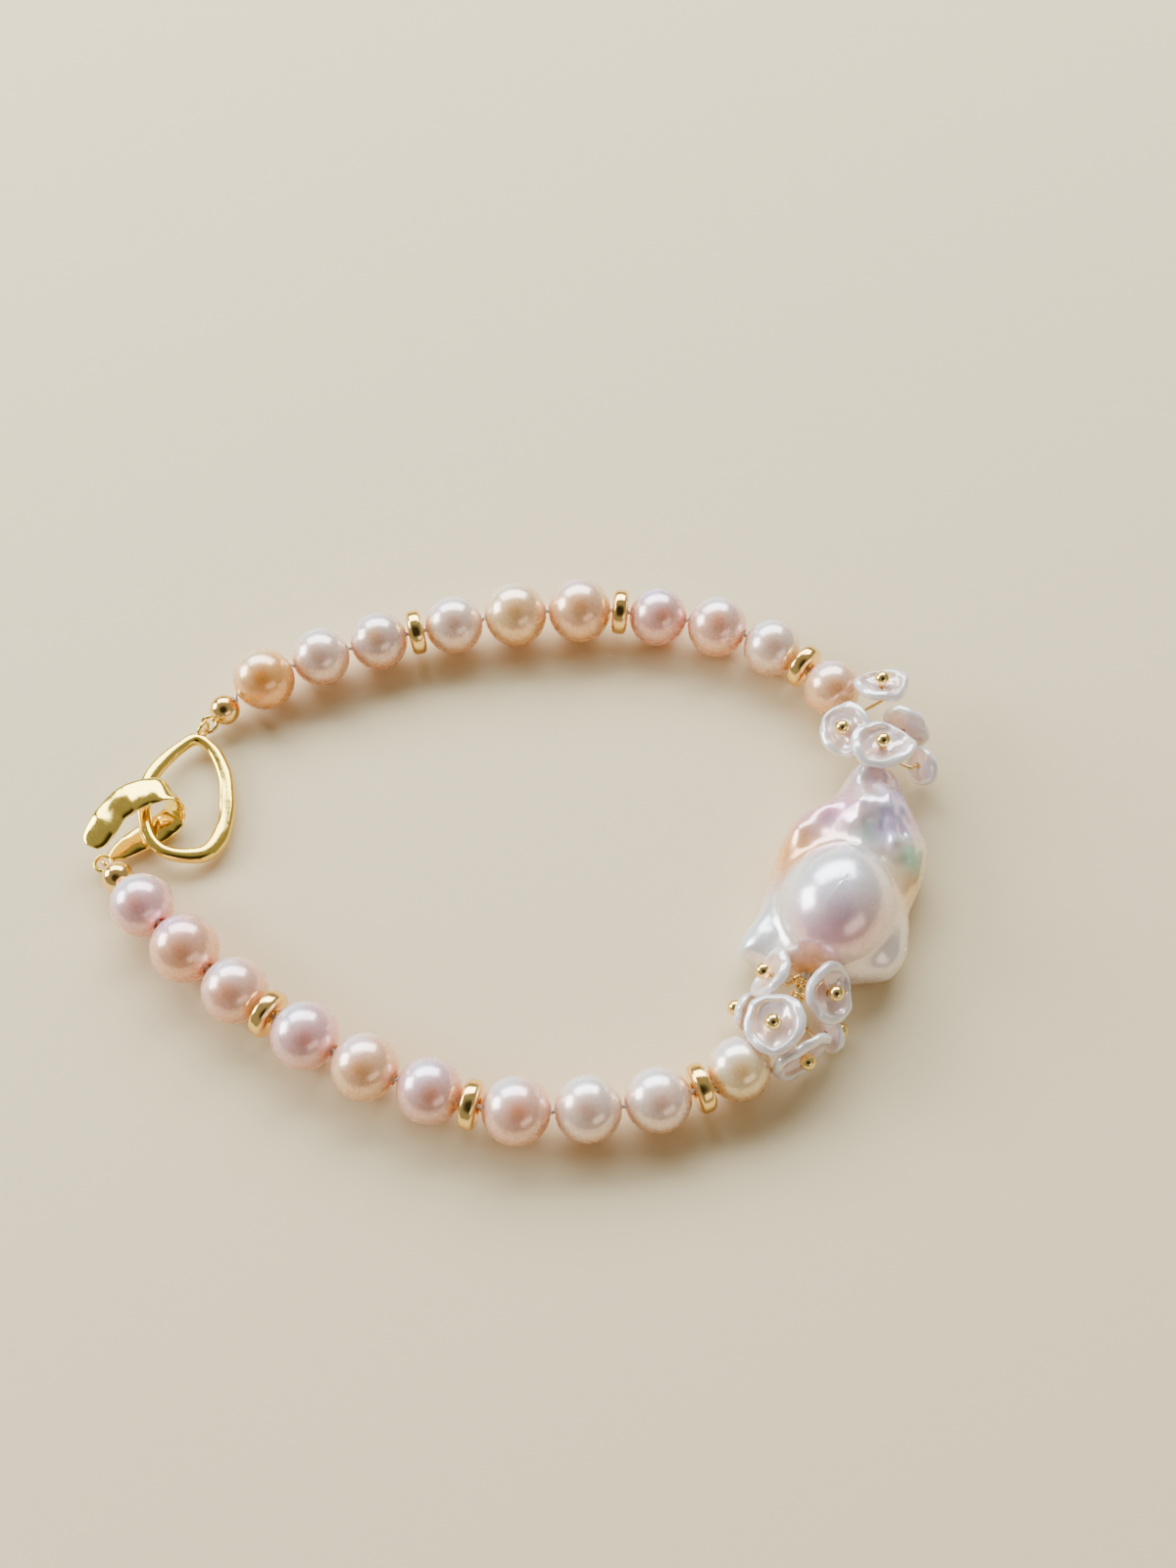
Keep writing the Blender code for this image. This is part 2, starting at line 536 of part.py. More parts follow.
def make_baroque(layout, collection, helpers):
    """Flanged pearl: an outline turned about its dome, with a lens-shaped flange, raised lobes and the dome on top."""
    turns = np.linspace(0, 360, BAROQUE_SIDES, endpoint=False)
    table = np.array(BAROQUE_OUTLINE)
    reach, rim = (np.interp(turns, table[:, 0], table[:, column], period=360) for column in (1, 2))
    reach, rim = reach * BAROQUE_LENGTH, rim * BAROQUE_RIM_HEIGHT
    ways = np.column_stack([np.cos(np.radians(turns)), np.sin(np.radians(turns))])
    centre = np.array([DOME_ACROSS, DOME_ALONG]) * BAROQUE_LENGTH
    foot = np.minimum(DOME_FOOT * DOME_RADIUS / reach, FOOT_LIMIT)
    shares = [ring * foot for ring in DOME_RINGS] + [foot + ring * (1 - foot) for ring in FLANGE_RINGS]
    pole, edge = np.full(BAROQUE_SIDES, POLE_SHARE), np.ones(BAROQUE_SIDES)

    def heights(share, top):
        across, along = (centre + ways * (share * reach)[:, None]).T
        if not top:
            return rim * share ** 2 * (1 - UNDERSIDE_DISH * (1 - share ** 4) ** 0.5)
        flange = rim + FLANGE_RISE * (1 - share ** 5) ** 0.5
        for lobe_across, lobe_along, radius, rise in BAROQUE_LOBES:
            away = np.hypot(across - lobe_across * BAROQUE_LENGTH, along - lobe_along * BAROQUE_LENGTH)
            swell = np.exp(-(away / (radius * BAROQUE_LENGTH)) ** 2)
            flange = flange + rise * FLANGE_THICKNESS * swell * (1 - share ** 6) ** 0.5
        from_dome = np.hypot((across - centre[0]) / DOME_NARROWING, along - centre[1])
        dome = np.empty(BAROQUE_SIDES)
        within = from_dome < DOME_RADIUS
        dome[within] = DOME_HEIGHT - DOME_RADIUS + np.sqrt(DOME_RADIUS ** 2 - from_dome[within] ** 2)
        dome[~within] = DOME_HEIGHT - DOME_RADIUS - DOME_SKIRT_SLOPE * (from_dome[~within] - DOME_RADIUS)
        return DOME_BLEND * np.logaddexp(flange / DOME_BLEND, dome / DOME_BLEND)

    def ring_at(share, top):
        spots = centre + ways * (share * reach)[:, None]
        level = rim if share is edge else heights(share, top)
        placed = np.outer(spots[:, 0], layout.across) + np.outer(spots[:, 1], layout.along)
        return np.column_stack([placed, level + FLOOR_GAP])

    rings = [ring_at(share, True) for share in (pole, *shares, edge)]
    rings += [ring_at(share, False) for share in (*shares[::-2], pole)]
    finish = material("nacre_baroque", BAROQUE_COLOUR, 0.2, 0.0)
    pearl = loft("baroque_pearl", np.array(rings), collection, finish, closed=False)
    ends = [(*(share * layout.neck), PIN_HEIGHT) for share in (HOLE_OVERRUN, -HOLE_OVERRUN)]
    boolean(pearl, wire_object("baroque_hole", ends, BAROQUE_HOLE, helpers), "DIFFERENCE")


def petal_facing(faces, tilt, roll):
    """Rotation that tilts a flat petal towards the given way and rolls it about its own axis."""
    facing, leaning, rolled = math.radians(faces), math.radians(tilt), math.radians(roll)
    return (Matrix.Rotation(facing, 3, "Z") @ Matrix.Rotation(leaning, 3, "Y")
            @ Matrix.Rotation(rolled - facing, 3, "Z"))


def make_petal(name, place, facing, width, length, cup, phase, collection):
    """Cupped keshi petal: a holed disc whose rim waves, given its thickness on both sides."""
    hole = PIN_WIRE / 2 + PIN_CLEARANCE
    built = bmesh.new()
    corners = [built.verts.new((1 + share, 0.0, 0.0)) for share in (0.0, 0.4, 0.75, 1.0)]
    edges = [built.edges.new(pair) for pair in zip(corners, corners[1:])]
    bmesh.ops.spin(built, geom=corners + edges, axis=(0, 0, 1), cent=(0, 0, 0), steps=PETAL_SIDES,
                   angle=2 * math.pi, use_merge=True)
    for corner in built.verts:
        share, turn = math.hypot(corner.co.x, corner.co.y) - 1, math.atan2(corner.co.y, corner.co.x)
        wavy = 1 + RIM_WAVES[0] * math.sin(3 * turn + phase) + RIM_WAVES[1] * math.sin(5 * turn - 2 * phase)
        rim = 0.5 * wavy * math.hypot(width * math.cos(turn), length * math.sin(turn))
        reach = hole + share * (rim - hole)
        ripple = CUP_WAVES[0] * math.sin(2 * turn + phase) + CUP_WAVES[1] * math.sin(3 * turn - phase)
        corner.co = (reach * math.cos(turn), reach * math.sin(turn), width * share ** 2 * (cup + ripple))
    bmesh.ops.recalc_face_normals(built, faces=built.faces)
    finish = material("nacre_petal", PETAL_COLOUR, 0.18, 0.0)
    made = add_object(name, mesh_from_bmesh(name, built), collection, finish)
    wall = made.modifiers.new("thickness", "SOLIDIFY")
    wall.thickness = PETAL_THICKNESS
    wall.offset = 0.0
    made.matrix_world = Matrix.Translation(place) @ facing.to_4x4()


def make_head_pin(name, thread_point, thread_way, place, facing, collection, helpers):
    """Head pin: an open loop round the thread, a stem that bends up to the petal's hole, and a ball on the petal."""
    normal = np.array(facing @ Vector((0, 0, 1)))
    deep, under = (place - normal * (PETAL_THICKNESS / 2 + lead) for lead in (2 * PIN_LEAD, PIN_LEAD))
    towards = deep - thread_point
    towards = towards - thread_way * towards.dot(thread_way)
    towards /= np.linalg.norm(towards)
    beside = np.cross(thread_way, towards)
    radius = THREAD_DIAMETER / 2 + PIN_CLEARANCE + PIN_WIRE / 2
    turns = np.radians(np.linspace(*PIN_LOOP_TURNS, 7))
    loop = thread_point + radius * (np.cos(turns)[:, None] * towards + np.sin(turns)[:, None] * beside)
    ball_centre = place + normal * ((PETAL_THICKNESS + PIN_BALL) / 2 + PIN_SEAT)
    neck = thread_point + radius * PIN_NECK * towards
    stem = smooth_curve([loop[-1], neck, deep, under, ball_centre], steps=2)
    made = wire_object(name, np.vstack([loop, stem[1:]]), PIN_WIRE, collection)
    made.data.materials.append(gold())
    built = bmesh.new()
    bmesh.ops.create_uvsphere(built, u_segments=10, v_segments=5, radius=PIN_BALL / 2)
    ball = add_object(name + "_ball", mesh_from_bmesh(name + "_ball", built), helpers)
    aim(ball, ball_centre, normal)
    boolean(made, ball, "UNION")


def make_clusters(layout, collection, helpers):
    """Petals on their head pins, each pin's loop at its share of the thread between pearl and baroque pearl."""
    clusters = {1: (layout.far, CLUSTER_1_LENGTH), 2: (layout.near, CLUSTER_2_LENGTH)}
    for i, (name, cluster, share, offset, faces, tilt, width, length, cup, roll) in enumerate(PETALS):
        route, stretch = clusters[cluster]
        arc = stretch * (1 - share if cluster == 1 else share)
        middle = route.at(arc)
        way = route.at(arc + 0.1 * MM) - middle
        way = np.array([*way / np.linalg.norm(way), 0.0])
        place = np.array([*middle, 0.0]) + np.array(offset) * PETAL_WIDTH
        facing = petal_facing(faces, tilt, roll)
        make_petal("petal_" + name, place, facing, width * PETAL_WIDTH, length * PETAL_WIDTH, cup, i * PHASE_STEP,
                   collection)
        make_head_pin("head_pin_" + name, np.array([*middle, PIN_HEIGHT]), way, place, facing, collection, helpers)


def make_row(beads, centres, number, collection):
    """One row of pearls and spacers, numbered outward or inward, and the thread's points along their holes."""
    thread = []
    for i, (bead, length) in enumerate(zip(beads, row_lengths(beads)), 1):
        way = way_at(centres, i)
        thread += [centres[i] - way * length / 2, centres[i] + way * length / 2]
        if bead[0] == "spacer":
            make_spacer(f"spacer_{number(beads, i, 'spacer')}", centres[i], way, collection)
        else:
            make_pearl(f"pearl_{number(beads, i, 'pearl'):02d}", bead, centres[i], way, collection)
    return thread


def count_from_clasp(beads, i, kind):
    """Number of a bead in the far row, counted from the ring."""
    return sum(bead[0] == kind for bead in beads[i - 1:])


def count_after_far_row(beads, i, kind):
    """Number of a bead in the near row, counted on from the far row."""
    return sum(bead[0] == kind for bead in FAR_ROW) + sum(bead[0] == kind for bead in beads[:i])


def make_string(layout, clasp, placed, collection, helpers):
    """Pearls, spacers, end beads and the thread that carries them."""
    ends = []
    for name, beads, route, places, stretch, end, number, eye, flat in (
        ("end_bead_1", FAR_ROW, layout.far, layout.far_places, CLUSTER_1_LENGTH, layout.far_end, count_from_clasp,
         clasp.ring_eye, True),
        ("end_bead_2", NEAR_ROW, layout.near, layout.near_places, CLUSTER_2_LENGTH, layout.near_end,
         count_after_far_row, clasp.hook_eye, False),
    ):
        centres = layout.row(beads, route, places, stretch, end)
        thread = [np.array([*route.at(share * stretch), PIN_HEIGHT]) for share in np.linspace(0, 0.9, 7)]
        thread += make_row(beads, centres, number, collection)
        inward = (centres[-1] - centres[-2]) / np.linalg.norm(centres[-1] - centres[-2])
        thread += [centres[-1] - inward * END_BEAD_DIAMETER / 2, centres[-1] - inward * END_BEAD_DIAMETER / 10]
        make_end_bead(name, centres[-1], inward, np.array(placed @ Vector(eye)), flat, collection, helpers)
        ends.append(thread)
    whole = wire_object("bead_thread", ends[0][::-1] + ends[1], THREAD_DIAMETER, collection)
    whole.data.materials.append(material("white_thread", (0.86, 0.83, 0.78), 0.6, 0.0))


def stand_on_origin(collections):
    """Hangs everything on one empty, moved so that the middle of the bracelet's underside is at the origin."""
    bpy.context.view_layer.update()
    graph = bpy.context.evaluated_depsgraph_get()
    corners = []
    for made in collections[0].objects:
        evaluated = made.evaluated_get(graph)
        mesh = evaluated.to_mesh()
        flat = np.empty(3 * len(mesh.vertices))
        mesh.vertices.foreach_get("co", flat)
        evaluated.to_mesh_clear()
        turn = np.array(made.matrix_world)
        placed = flat.reshape(-1, 3) @ turn[:3, :3].T + turn[:3, 3]
        corners += [placed.min(axis=0), placed.max(axis=0)]
    low, high = np.min(corners, axis=0), np.max(corners, axis=0)
    origin = bpy.data.objects.new("bracelet_origin", None)
    bpy.context.scene.collection.objects.link(origin)
    origin.location = (-(low[0] + high[0]) / 2, -(low[1] + high[1]) / 2, -low[2])
    for collection in collections:
        for made in collection.objects:
            made.parent = origin


def main():
    for leftover in list(bpy.data.objects):
        bpy.data.objects.remove(leftover)
    bracelet = bpy.data.collections.new("pearl_bracelet")
    helpers = bpy.data.collections.new("cutters_and_joins")
    for collection in (bracelet, helpers):
        bpy.context.scene.collection.children.link(collection)
    clasp = Clasp()
    layout = Layout(clasp)
    placed = layout.clasp_matrix()
    make_string(layout, clasp, placed, bracelet, helpers)
    make_clasp(clasp, placed, bracelet, helpers)
    make_baroque(layout, bracelet, helpers)
    make_clusters(layout, bracelet, helpers)
    stand_on_origin((bracelet, helpers))


if __name__ == "__main__":
    main()
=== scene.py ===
"""Dresses the pearl bracelet: nacre pearls in two rows, gold rondelles, the hammered hook and ring, the flanged
pearl and the keshi petals on their ball-ended pins. Metres, +Z up, lying on the plane z = 0."""

import logging
import math
from dataclasses import dataclass
from enum import Enum
from typing import Optional, Sequence

import bpy
import numpy as np
from mathutils import Matrix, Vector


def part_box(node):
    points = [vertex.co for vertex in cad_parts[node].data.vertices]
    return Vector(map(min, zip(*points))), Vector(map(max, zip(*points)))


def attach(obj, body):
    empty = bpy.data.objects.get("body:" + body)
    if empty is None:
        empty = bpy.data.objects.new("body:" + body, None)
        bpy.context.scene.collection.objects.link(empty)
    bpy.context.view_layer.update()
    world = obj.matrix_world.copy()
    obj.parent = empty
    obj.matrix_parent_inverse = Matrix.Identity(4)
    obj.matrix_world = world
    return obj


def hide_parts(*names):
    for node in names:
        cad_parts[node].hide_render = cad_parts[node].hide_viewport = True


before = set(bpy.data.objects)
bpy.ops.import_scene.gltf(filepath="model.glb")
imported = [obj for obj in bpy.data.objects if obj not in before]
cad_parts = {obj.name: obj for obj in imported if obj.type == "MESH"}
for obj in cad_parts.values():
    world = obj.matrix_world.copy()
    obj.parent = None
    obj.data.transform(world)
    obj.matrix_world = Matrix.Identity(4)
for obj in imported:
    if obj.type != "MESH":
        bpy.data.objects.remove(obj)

logging.basicConfig(level=logging.INFO, format="%(message)s")
log = logging.getLogger("bracelet")

MM = 0.001
Colour = tuple[float, float, float]

# Sizes that several pieces share
THREAD = 0.4 * MM
THREAD_HOLE = 1.1 * MM
END_BEAD = 3.0 * MM
LOOP_RADIUS = 0.8 * MM
LOOP_WIRE = 0.42 * MM
FLOOR_GAP = 0.03 * MM

# Fineness and ends of wires
LOOP_STEPS = 48
TIP_SHARE = 0.55


# Surfaces

@dataclass
class Shell:
    """One closed skin: a grid of points, rows by columns, whose columns run round into a loop.

    Rows run into a loop too where loop_rows is set. Otherwise the first and last rows are filled in.
    """

    points: np.ndarray
    loop_rows: bool = False

    def faces(self) -> tuple[np.ndarray, list[np.ndarray]]:
        """Quads and end caps, turned so that the shell's volume is positive.

        Returns:
            An array of quads (n, 4), and a list of cap polygons.
        """
        rows, columns = self.points.shape[:2]
        steps = rows if self.loop_rows else rows - 1
        row, column = np.meshgrid(np.arange(steps), np.arange(columns), indexing="ij")
        below, beside = (row + 1) % rows, (column + 1) % columns
        quads = np.stack([row * columns + column, below * columns + column,
                          below * columns + beside, row * columns + beside], axis=-1).reshape(-1, 4)
        first = np.arange(columns)
        caps = [] if self.loop_rows else [first, (first + (rows - 1) * columns)[::-1]]
        flat = self.points.reshape(-1, 3)
        a, b, c, d = (flat[quads[:, k]] - flat.mean(axis=0) for k in range(4))
        volume = np.einsum("ij,ij->", a, np.cross(b, c)) + np.einsum("ij,ij->", a, np.cross(c, d))
        if volume < 0:
            quads, caps = quads[:, ::-1], [cap[::-1] for cap in caps]
        return quads, caps


def unit(rows: np.ndarray) -> np.ndarray:
    """The direction of a vector, or of each row of several, at length one."""
    return rows / (np.linalg.norm(rows) if rows.ndim == 1 else np.linalg.norm(rows, axis=-1, keepdims=True))


def around(count: int) -> np.ndarray:
    """This many even angles round a circle."""
    return 2 * np.pi * np.arange(count) / count


def circle_points(centre: np.ndarray, radius: float, first: Sequence[float], second: Sequence[float],
                  angles: np.ndarray) -> np.ndarray:
    """Points round a centre, at these angles from the first direction towards the second."""
    return centre + radius * (np.cos(angles)[:, None] * first + np.sin(angles)[:, None] * second)


def squared(wave: np.ndarray, power: float) -> np.ndarray:
    """A sine or cosine to a power under one, its sign kept, which makes a round outline blocky."""
    return np.sign(wave) * np.abs(wave) ** power


def run_lengths(path: np.ndarray) -> np.ndarray:
    """Length reached along the path at each of its points."""
    return np.concatenate([[0.0], np.cumsum(np.linalg.norm(np.diff(path, axis=0), axis=1))])


def rotation(axis: Sequence[float]) -> np.ndarray:
    """Matrix whose third column is the axis, and whose first two are square to it."""
    third = unit(np.asarray(axis, dtype=float))
    helper = np.array([0.0, 0.0, 1.0]) if abs(third[2]) < 0.9 else np.array([1.0, 0.0, 0.0])
    first = unit(np.cross(helper, third))
    return np.column_stack([first, np.cross(third, first), third])


def catmull_rom(points: np.ndarray, closed: bool = False, steps: int = 12) -> np.ndarray:
    """Smooth curve through chosen points: in each span a cubic whose slope at a point follows its neighbours.

    Args:
        points: rows of any number of values.
        closed: whether the last point joins the first.
        steps: points to each span.

    Returns:
        The rows of the curve.
    """
    chosen = np.asarray(points, dtype=float)
    if closed:
        padded = np.vstack([chosen[-1:], chosen, chosen[:2]])
    else:
        padded = np.vstack([2 * chosen[0] - chosen[1], chosen, 2 * chosen[-1] - chosen[-2]])
    before, start, end, after = (padded[k:len(padded) - 3 + k, None] for k in range(4))
    t = (np.arange(steps) / steps)[None, :, None]
    cubic = 0.5 * (2 * start + (end - before) * t + (2 * before - 5 * start + 4 * end - after) * t ** 2
                   + (3 * (start - end) + after - before) * t ** 3)
    curve = cubic.reshape(-1, chosen.shape[1])
    return curve if closed else np.vstack([curve, chosen[-1:]])


def sections(path: np.ndarray, outline: np.ndarray, across: Optional[np.ndarray], closed: bool) -> np.ndarray:
    """Carries outlines along a path: each point is the path's point plus the outline's two values times two
    directions square to the path.

    Args:
        path: (n, 3) points.
        outline: (n or 1, m, 2) values along the side and rise directions.
        across: direction that the side leans towards, or None for the normal of the path's best plane.
        closed: whether the path is a loop.

    Returns:
        A grid (n, m, 3).
    """
    ahead = np.roll(path, -1, axis=0) - np.roll(path, 1, axis=0)
    if not closed:
        ahead[0], ahead[-1] = path[1] - path[0], path[-1] - path[-2]
    ahead = unit(ahead)
    lean = np.linalg.svd(ahead)[2][-1] if across is None else np.asarray(across, dtype=float)
    side = unit(lean - ahead * (ahead @ lean)[:, None])
    rise = np.cross(ahead, side)
    return path[:, None] + outline[..., :1] * side[:, None] + outline[..., 1:] * rise[:, None]


def tube(path: np.ndarray, thickness: float, closed: bool = False, sides: int = 16) -> Shell:
    """Round wire: a circle of this thickness carried along the path, its open ends drawn in to a dome."""
    turns = around(sides)
    circle = thickness / 2 * np.column_stack([np.cos(turns), np.sin(turns)])[None]
    if closed:
        return Shell(sections(path, circle, None, True), loop_rows=True)
    grow = np.ones(len(path))
    grow[[0, -1]] = TIP_SHARE
    return Shell(sections(path, circle * grow[:, None, None], None, False))


def turned(profile: np.ndarray, centre: np.ndarray, axis: np.ndarray, sides: int, loop_rows: bool) -> Shell:
    """Turned shape: each (radius, height) of the profile goes round the axis through the centre."""
    turns = around(sides)
    radius, height = profile[:, :1], profile[:, 1:]
    local = np.stack([radius * np.cos(turns), radius * np.sin(turns), height + 0 * turns], axis=-1)
    return Shell(local @ rotation(axis).T + centre, loop_rows)


def ripple(points: np.ndarray, seed: int, waves: int, length: float) -> np.ndarray:
    """Soft random field: a mean of sines, each along its own random direction with about this wave length.

    Args:
        points: array (..., 3).
        seed: picks the directions and phases.
        waves: how many sines.
        length: wave length in the points' own units.

    Returns:
        Values of about -1 to 1, one to a point.
    """
    chance = np.random.default_rng(seed)
    ways = chance.normal(size=(waves, 3))
    ways *= (2 * np.pi / length * chance.uniform(0.7, 1.4, waves) / np.linalg.norm(ways, axis=1))[:, None]
    return np.sin(points @ ways.T + chance.uniform(0, 2 * np.pi, waves)).mean(axis=-1) * math.sqrt(waves / 2)


def link(name: str, data: bpy.types.ID) -> bpy.types.Object:
    """Puts an object of this data in the scene, at the origin."""
    made = bpy.data.objects.new(name, data)
    bpy.context.scene.collection.objects.link(made)
    return made


def make_piece(name: str, shells: Sequence[Shell], finish: bpy.types.Material,
               tints: Optional[Sequence[np.ndarray]] = None) -> bpy.types.Object:
    """Mesh object of these shells, shaded smooth.

    Args:
        name: the object's name.
        shells: its closed skins.
        finish: its material.
        tints: for each shell an array (rows, columns, 3) of colours, kept as the point attribute "tint".

    Returns:
        The object, at the origin.
    """
    corners, polygons, colours, start = [], [], [], 0
    for k, shell in enumerate(shells):
        quads, caps = shell.faces()
        corners.append(shell.points.reshape(-1, 3))
        polygons += (quads + start).tolist() + [(cap + start).tolist() for cap in caps]
        start += len(corners[-1])
        if tints is not None:
            colours.append(np.broadcast_to(tints[k], shell.points.shape).reshape(-1, 3))
    mesh = bpy.data.meshes.new(name)
    mesh.from_pydata(np.vstack(corners), [], polygons)
    if tints is not None:
        rgba = np.ones((start, 4), dtype=np.float32)
        rgba[:, :3] = np.clip(np.vstack(colours), 0, 1)
        mesh.attributes.new("tint", "FLOAT_COLOR", "POINT").data.foreach_set("color", rgba.ravel())
    mesh.materials.append(finish)
    mesh.shade_smooth()
    return link(name, mesh)


def settle(piece: bpy.types.Object, node: str) -> None:
    """Lets the piece ride on the bracelet in place of this node, and reports it."""
    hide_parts(node)
    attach(piece, "root")
    log.info("%s: %d faces for %s", piece.name, len(piece.data.polygons), node)


# Finishes

class NodeBoard:
    """A material's node tree, with short calls to add and join nodes."""

    def __init__(self, name: str) -> None:
        """Starts a material with a Principled shader."""
        self.material = bpy.data.materials.new(name)
        self.material.use_nodes = True
        self.tree = self.material.node_tree
        self.shader = self.tree.nodes["Principled BSDF"]

    def add(self, kind: str, settings: Optional[dict] = None, **inputs: object) -> bpy.types.Node:
        """Adds a node.

        Args:
            kind: the node type without its "ShaderNode" start.
            settings: properties of the node.
            **inputs: socket values or sockets, by name with _ for a space.

        Returns:
            The node.
        """
        node = self.tree.nodes.new("ShaderNode" + kind)
        for key, value in (settings or {}).items():
            setattr(node, key, value)
        for key, value in inputs.items():
            self.feed(node, key.replace("_", " "), value)
        return node

    def feed(self, node: bpy.types.Node, socket: str, value: object) -> None:
        """Sets an input to a value, or joins it to a socket."""
        target = node.inputs[socket]
        if isinstance(value, bpy.types.NodeSocket):
            self.tree.links.new(value, target)
        else:
            target.default_value = value

    def set(self, **inputs: object) -> None:
        """Sets or joins the shader's own inputs, by name with _ for a space."""
        for key, value in inputs.items():
            self.feed(self.shader, key.replace("_", " "), value)

    def place(self) -> bpy.types.NodeSocket:
        """The object's own coordinates."""
        return self.add("TexCoord").outputs["Object"]

    def noise(self, scale: float, detail: float = 3.0,
              vector: Optional[bpy.types.NodeSocket] = None) -> bpy.types.NodeSocket:
        """Noise value with this many waves to a metre."""
        return self.add("TexNoise", Vector=vector or self.place(), Scale=scale, Detail=detail).outputs["Fac"]

    def spread(self, value: bpy.types.NodeSocket, low: float, high: float) -> bpy.types.NodeSocket:
        """Maps the usual reach of a noise, 0.3 to 0.7, to low and high."""
        found = self.add("MapRange", Value=value, From_Min=0.3, From_Max=0.7, To_Min=low, To_Max=high)
        return found.outputs["Result"]

    def blend(self, share: object, first: object, second: object, mode: str = "MIX") -> bpy.types.NodeSocket:
        """Colour mix of two colours by a share."""
        mix = self.add("Mix", {"data_type": "RGBA", "blend_type": mode})
        for socket, value in ((mix.inputs[0], share), (mix.inputs[6], first), (mix.inputs[7], second)):
            if isinstance(value, bpy.types.NodeSocket):
                self.tree.links.new(value, socket)
            else:
                socket.default_value = (*value, 1.0) if isinstance(value, tuple) else value
        return mix.outputs[2]

    def bump(self, height: bpy.types.NodeSocket, depth: float, strength: float = 1.0) -> None:
        """Gives the shader this relief, depth in metres."""
        self.set(Normal=self.add("Bump", Strength=strength, Distance=depth, Height=height).outputs["Normal"])


@dataclass(frozen=True)
class NacreFinish:
    """Layered nacre: a tinted body that lets a little light in, a silky skin that mirrors its surroundings
    in the body's own colour, and a clear polish over it."""

    name: str
    lustre: float = 0.38
    roughness: float = 0.27
    depth: float = 0.45
    polish: float = 0.06
    clear: float = 0.0
    mottle: float = 0.06
    glow: Colour = (1.0, 0.60, 0.36)
    relief: float = 0.002 * MM
    grain: float = 900.0

    def material(self) -> bpy.types.Material:
        """Builds the material: its colour is the tint attribute, clouded by noise."""
        board = NodeBoard(self.name)
        tint = board.add("Attribute", {"attribute_name": "tint"}).outputs["Color"]
        cloud = board.spread(board.noise(self.grain / 3, 4.0), 1.0 - self.mottle, 1.0)
        grey = board.add("CombineColor", Red=cloud, Green=cloud, Blue=cloud).outputs[0]
        shade = board.blend(1.0, tint, grey, "MULTIPLY")
        silk = board.noise(self.grain * 1.6, 3.0)
        board.set(
            Base_Color=shade, Metallic=self.lustre,
            Roughness=board.spread(silk, self.roughness - 0.04, self.roughness + 0.05),
            IOR=1.7, Transmission_Weight=self.clear,
            Subsurface_Weight=self.depth, Subsurface_Radius=(1.0, 0.5, 0.3), Subsurface_Scale=1.1 * MM,
            Coat_Weight=1.0, Coat_Roughness=self.polish, Coat_IOR=1.7,
            Sheen_Weight=0.3, Sheen_Roughness=0.35, Sheen_Tint=(*self.glow, 1.0),
        )
        board.bump(board.noise(self.grain * 2.5, 3.0), self.relief, 0.1)
        return board.material


@dataclass(frozen=True)
class GoldFinish:
    """Gold plate: polished, with soft worn patches and fine handling marks."""

    name: str
    colour: Colour = (1.0, 0.76, 0.34)
    warm: Colour = (0.98, 0.62, 0.2)
    roughness: float = 0.1
    relief: float = 0.012 * MM

    def material(self) -> bpy.types.Material:
        """Builds the material."""
        board = NodeBoard(self.name)
        worn = board.spread(board.noise(260.0, 4.0), 0.0, 0.55)
        stretch = board.add("Mapping", Vector=board.place(), Scale=(1.0, 1.0, 6.0)).outputs["Vector"]
        marks = board.noise(2600.0, 5.0, stretch)
        board.set(
            Base_Color=board.blend(worn, self.colour, self.warm), Metallic=1.0,
            Roughness=board.spread(marks, self.roughness * 0.6, self.roughness * 1.7),
        )
        board.bump(board.noise(1100.0, 3.0), self.relief, 0.6)
        return board.material


@dataclass(frozen=True)
class ThreadFinish:
    """Twisted beading silk: fine oblique strands along the thread, each lighter band a painted highlight."""

    name: str = "beading_silk"
    colour: Colour = (0.82, 0.72, 0.56)
    shine: Colour = (0.93, 0.87, 0.76)

    def material(self) -> bpy.types.Material:
        """Builds the material."""
        board = NodeBoard(self.name)
        strands = board.add("TexWave", {"bands_direction": "DIAGONAL"}, Vector=board.place(),
                            Scale=2600.0, Distortion=1.5, Detail=2.0).outputs["Fac"]
        # The strands blend from the thread's colour to a painted highlight.
        board.set(Base_Color=board.blend(strands, self.colour, self.shine), Roughness=0.6,
                  Sheen_Weight=0.4)
        board.bump(strands, 0.03 * MM)
        return board.material


@dataclass(frozen=True)
class Tone:
    """Colours of a round pearl: its body; a painted dark reflection, deeper and more coloured, on the side facing
    the camera; painted warm bounce light on the lower side near the floor; and a painted highlight in the pearl's
    overtone colour on the side turned up to the window."""

    body: Colour
    core: Colour
    painted_warm_bounce: Colour
    orient_and_painted_highlight: Colour


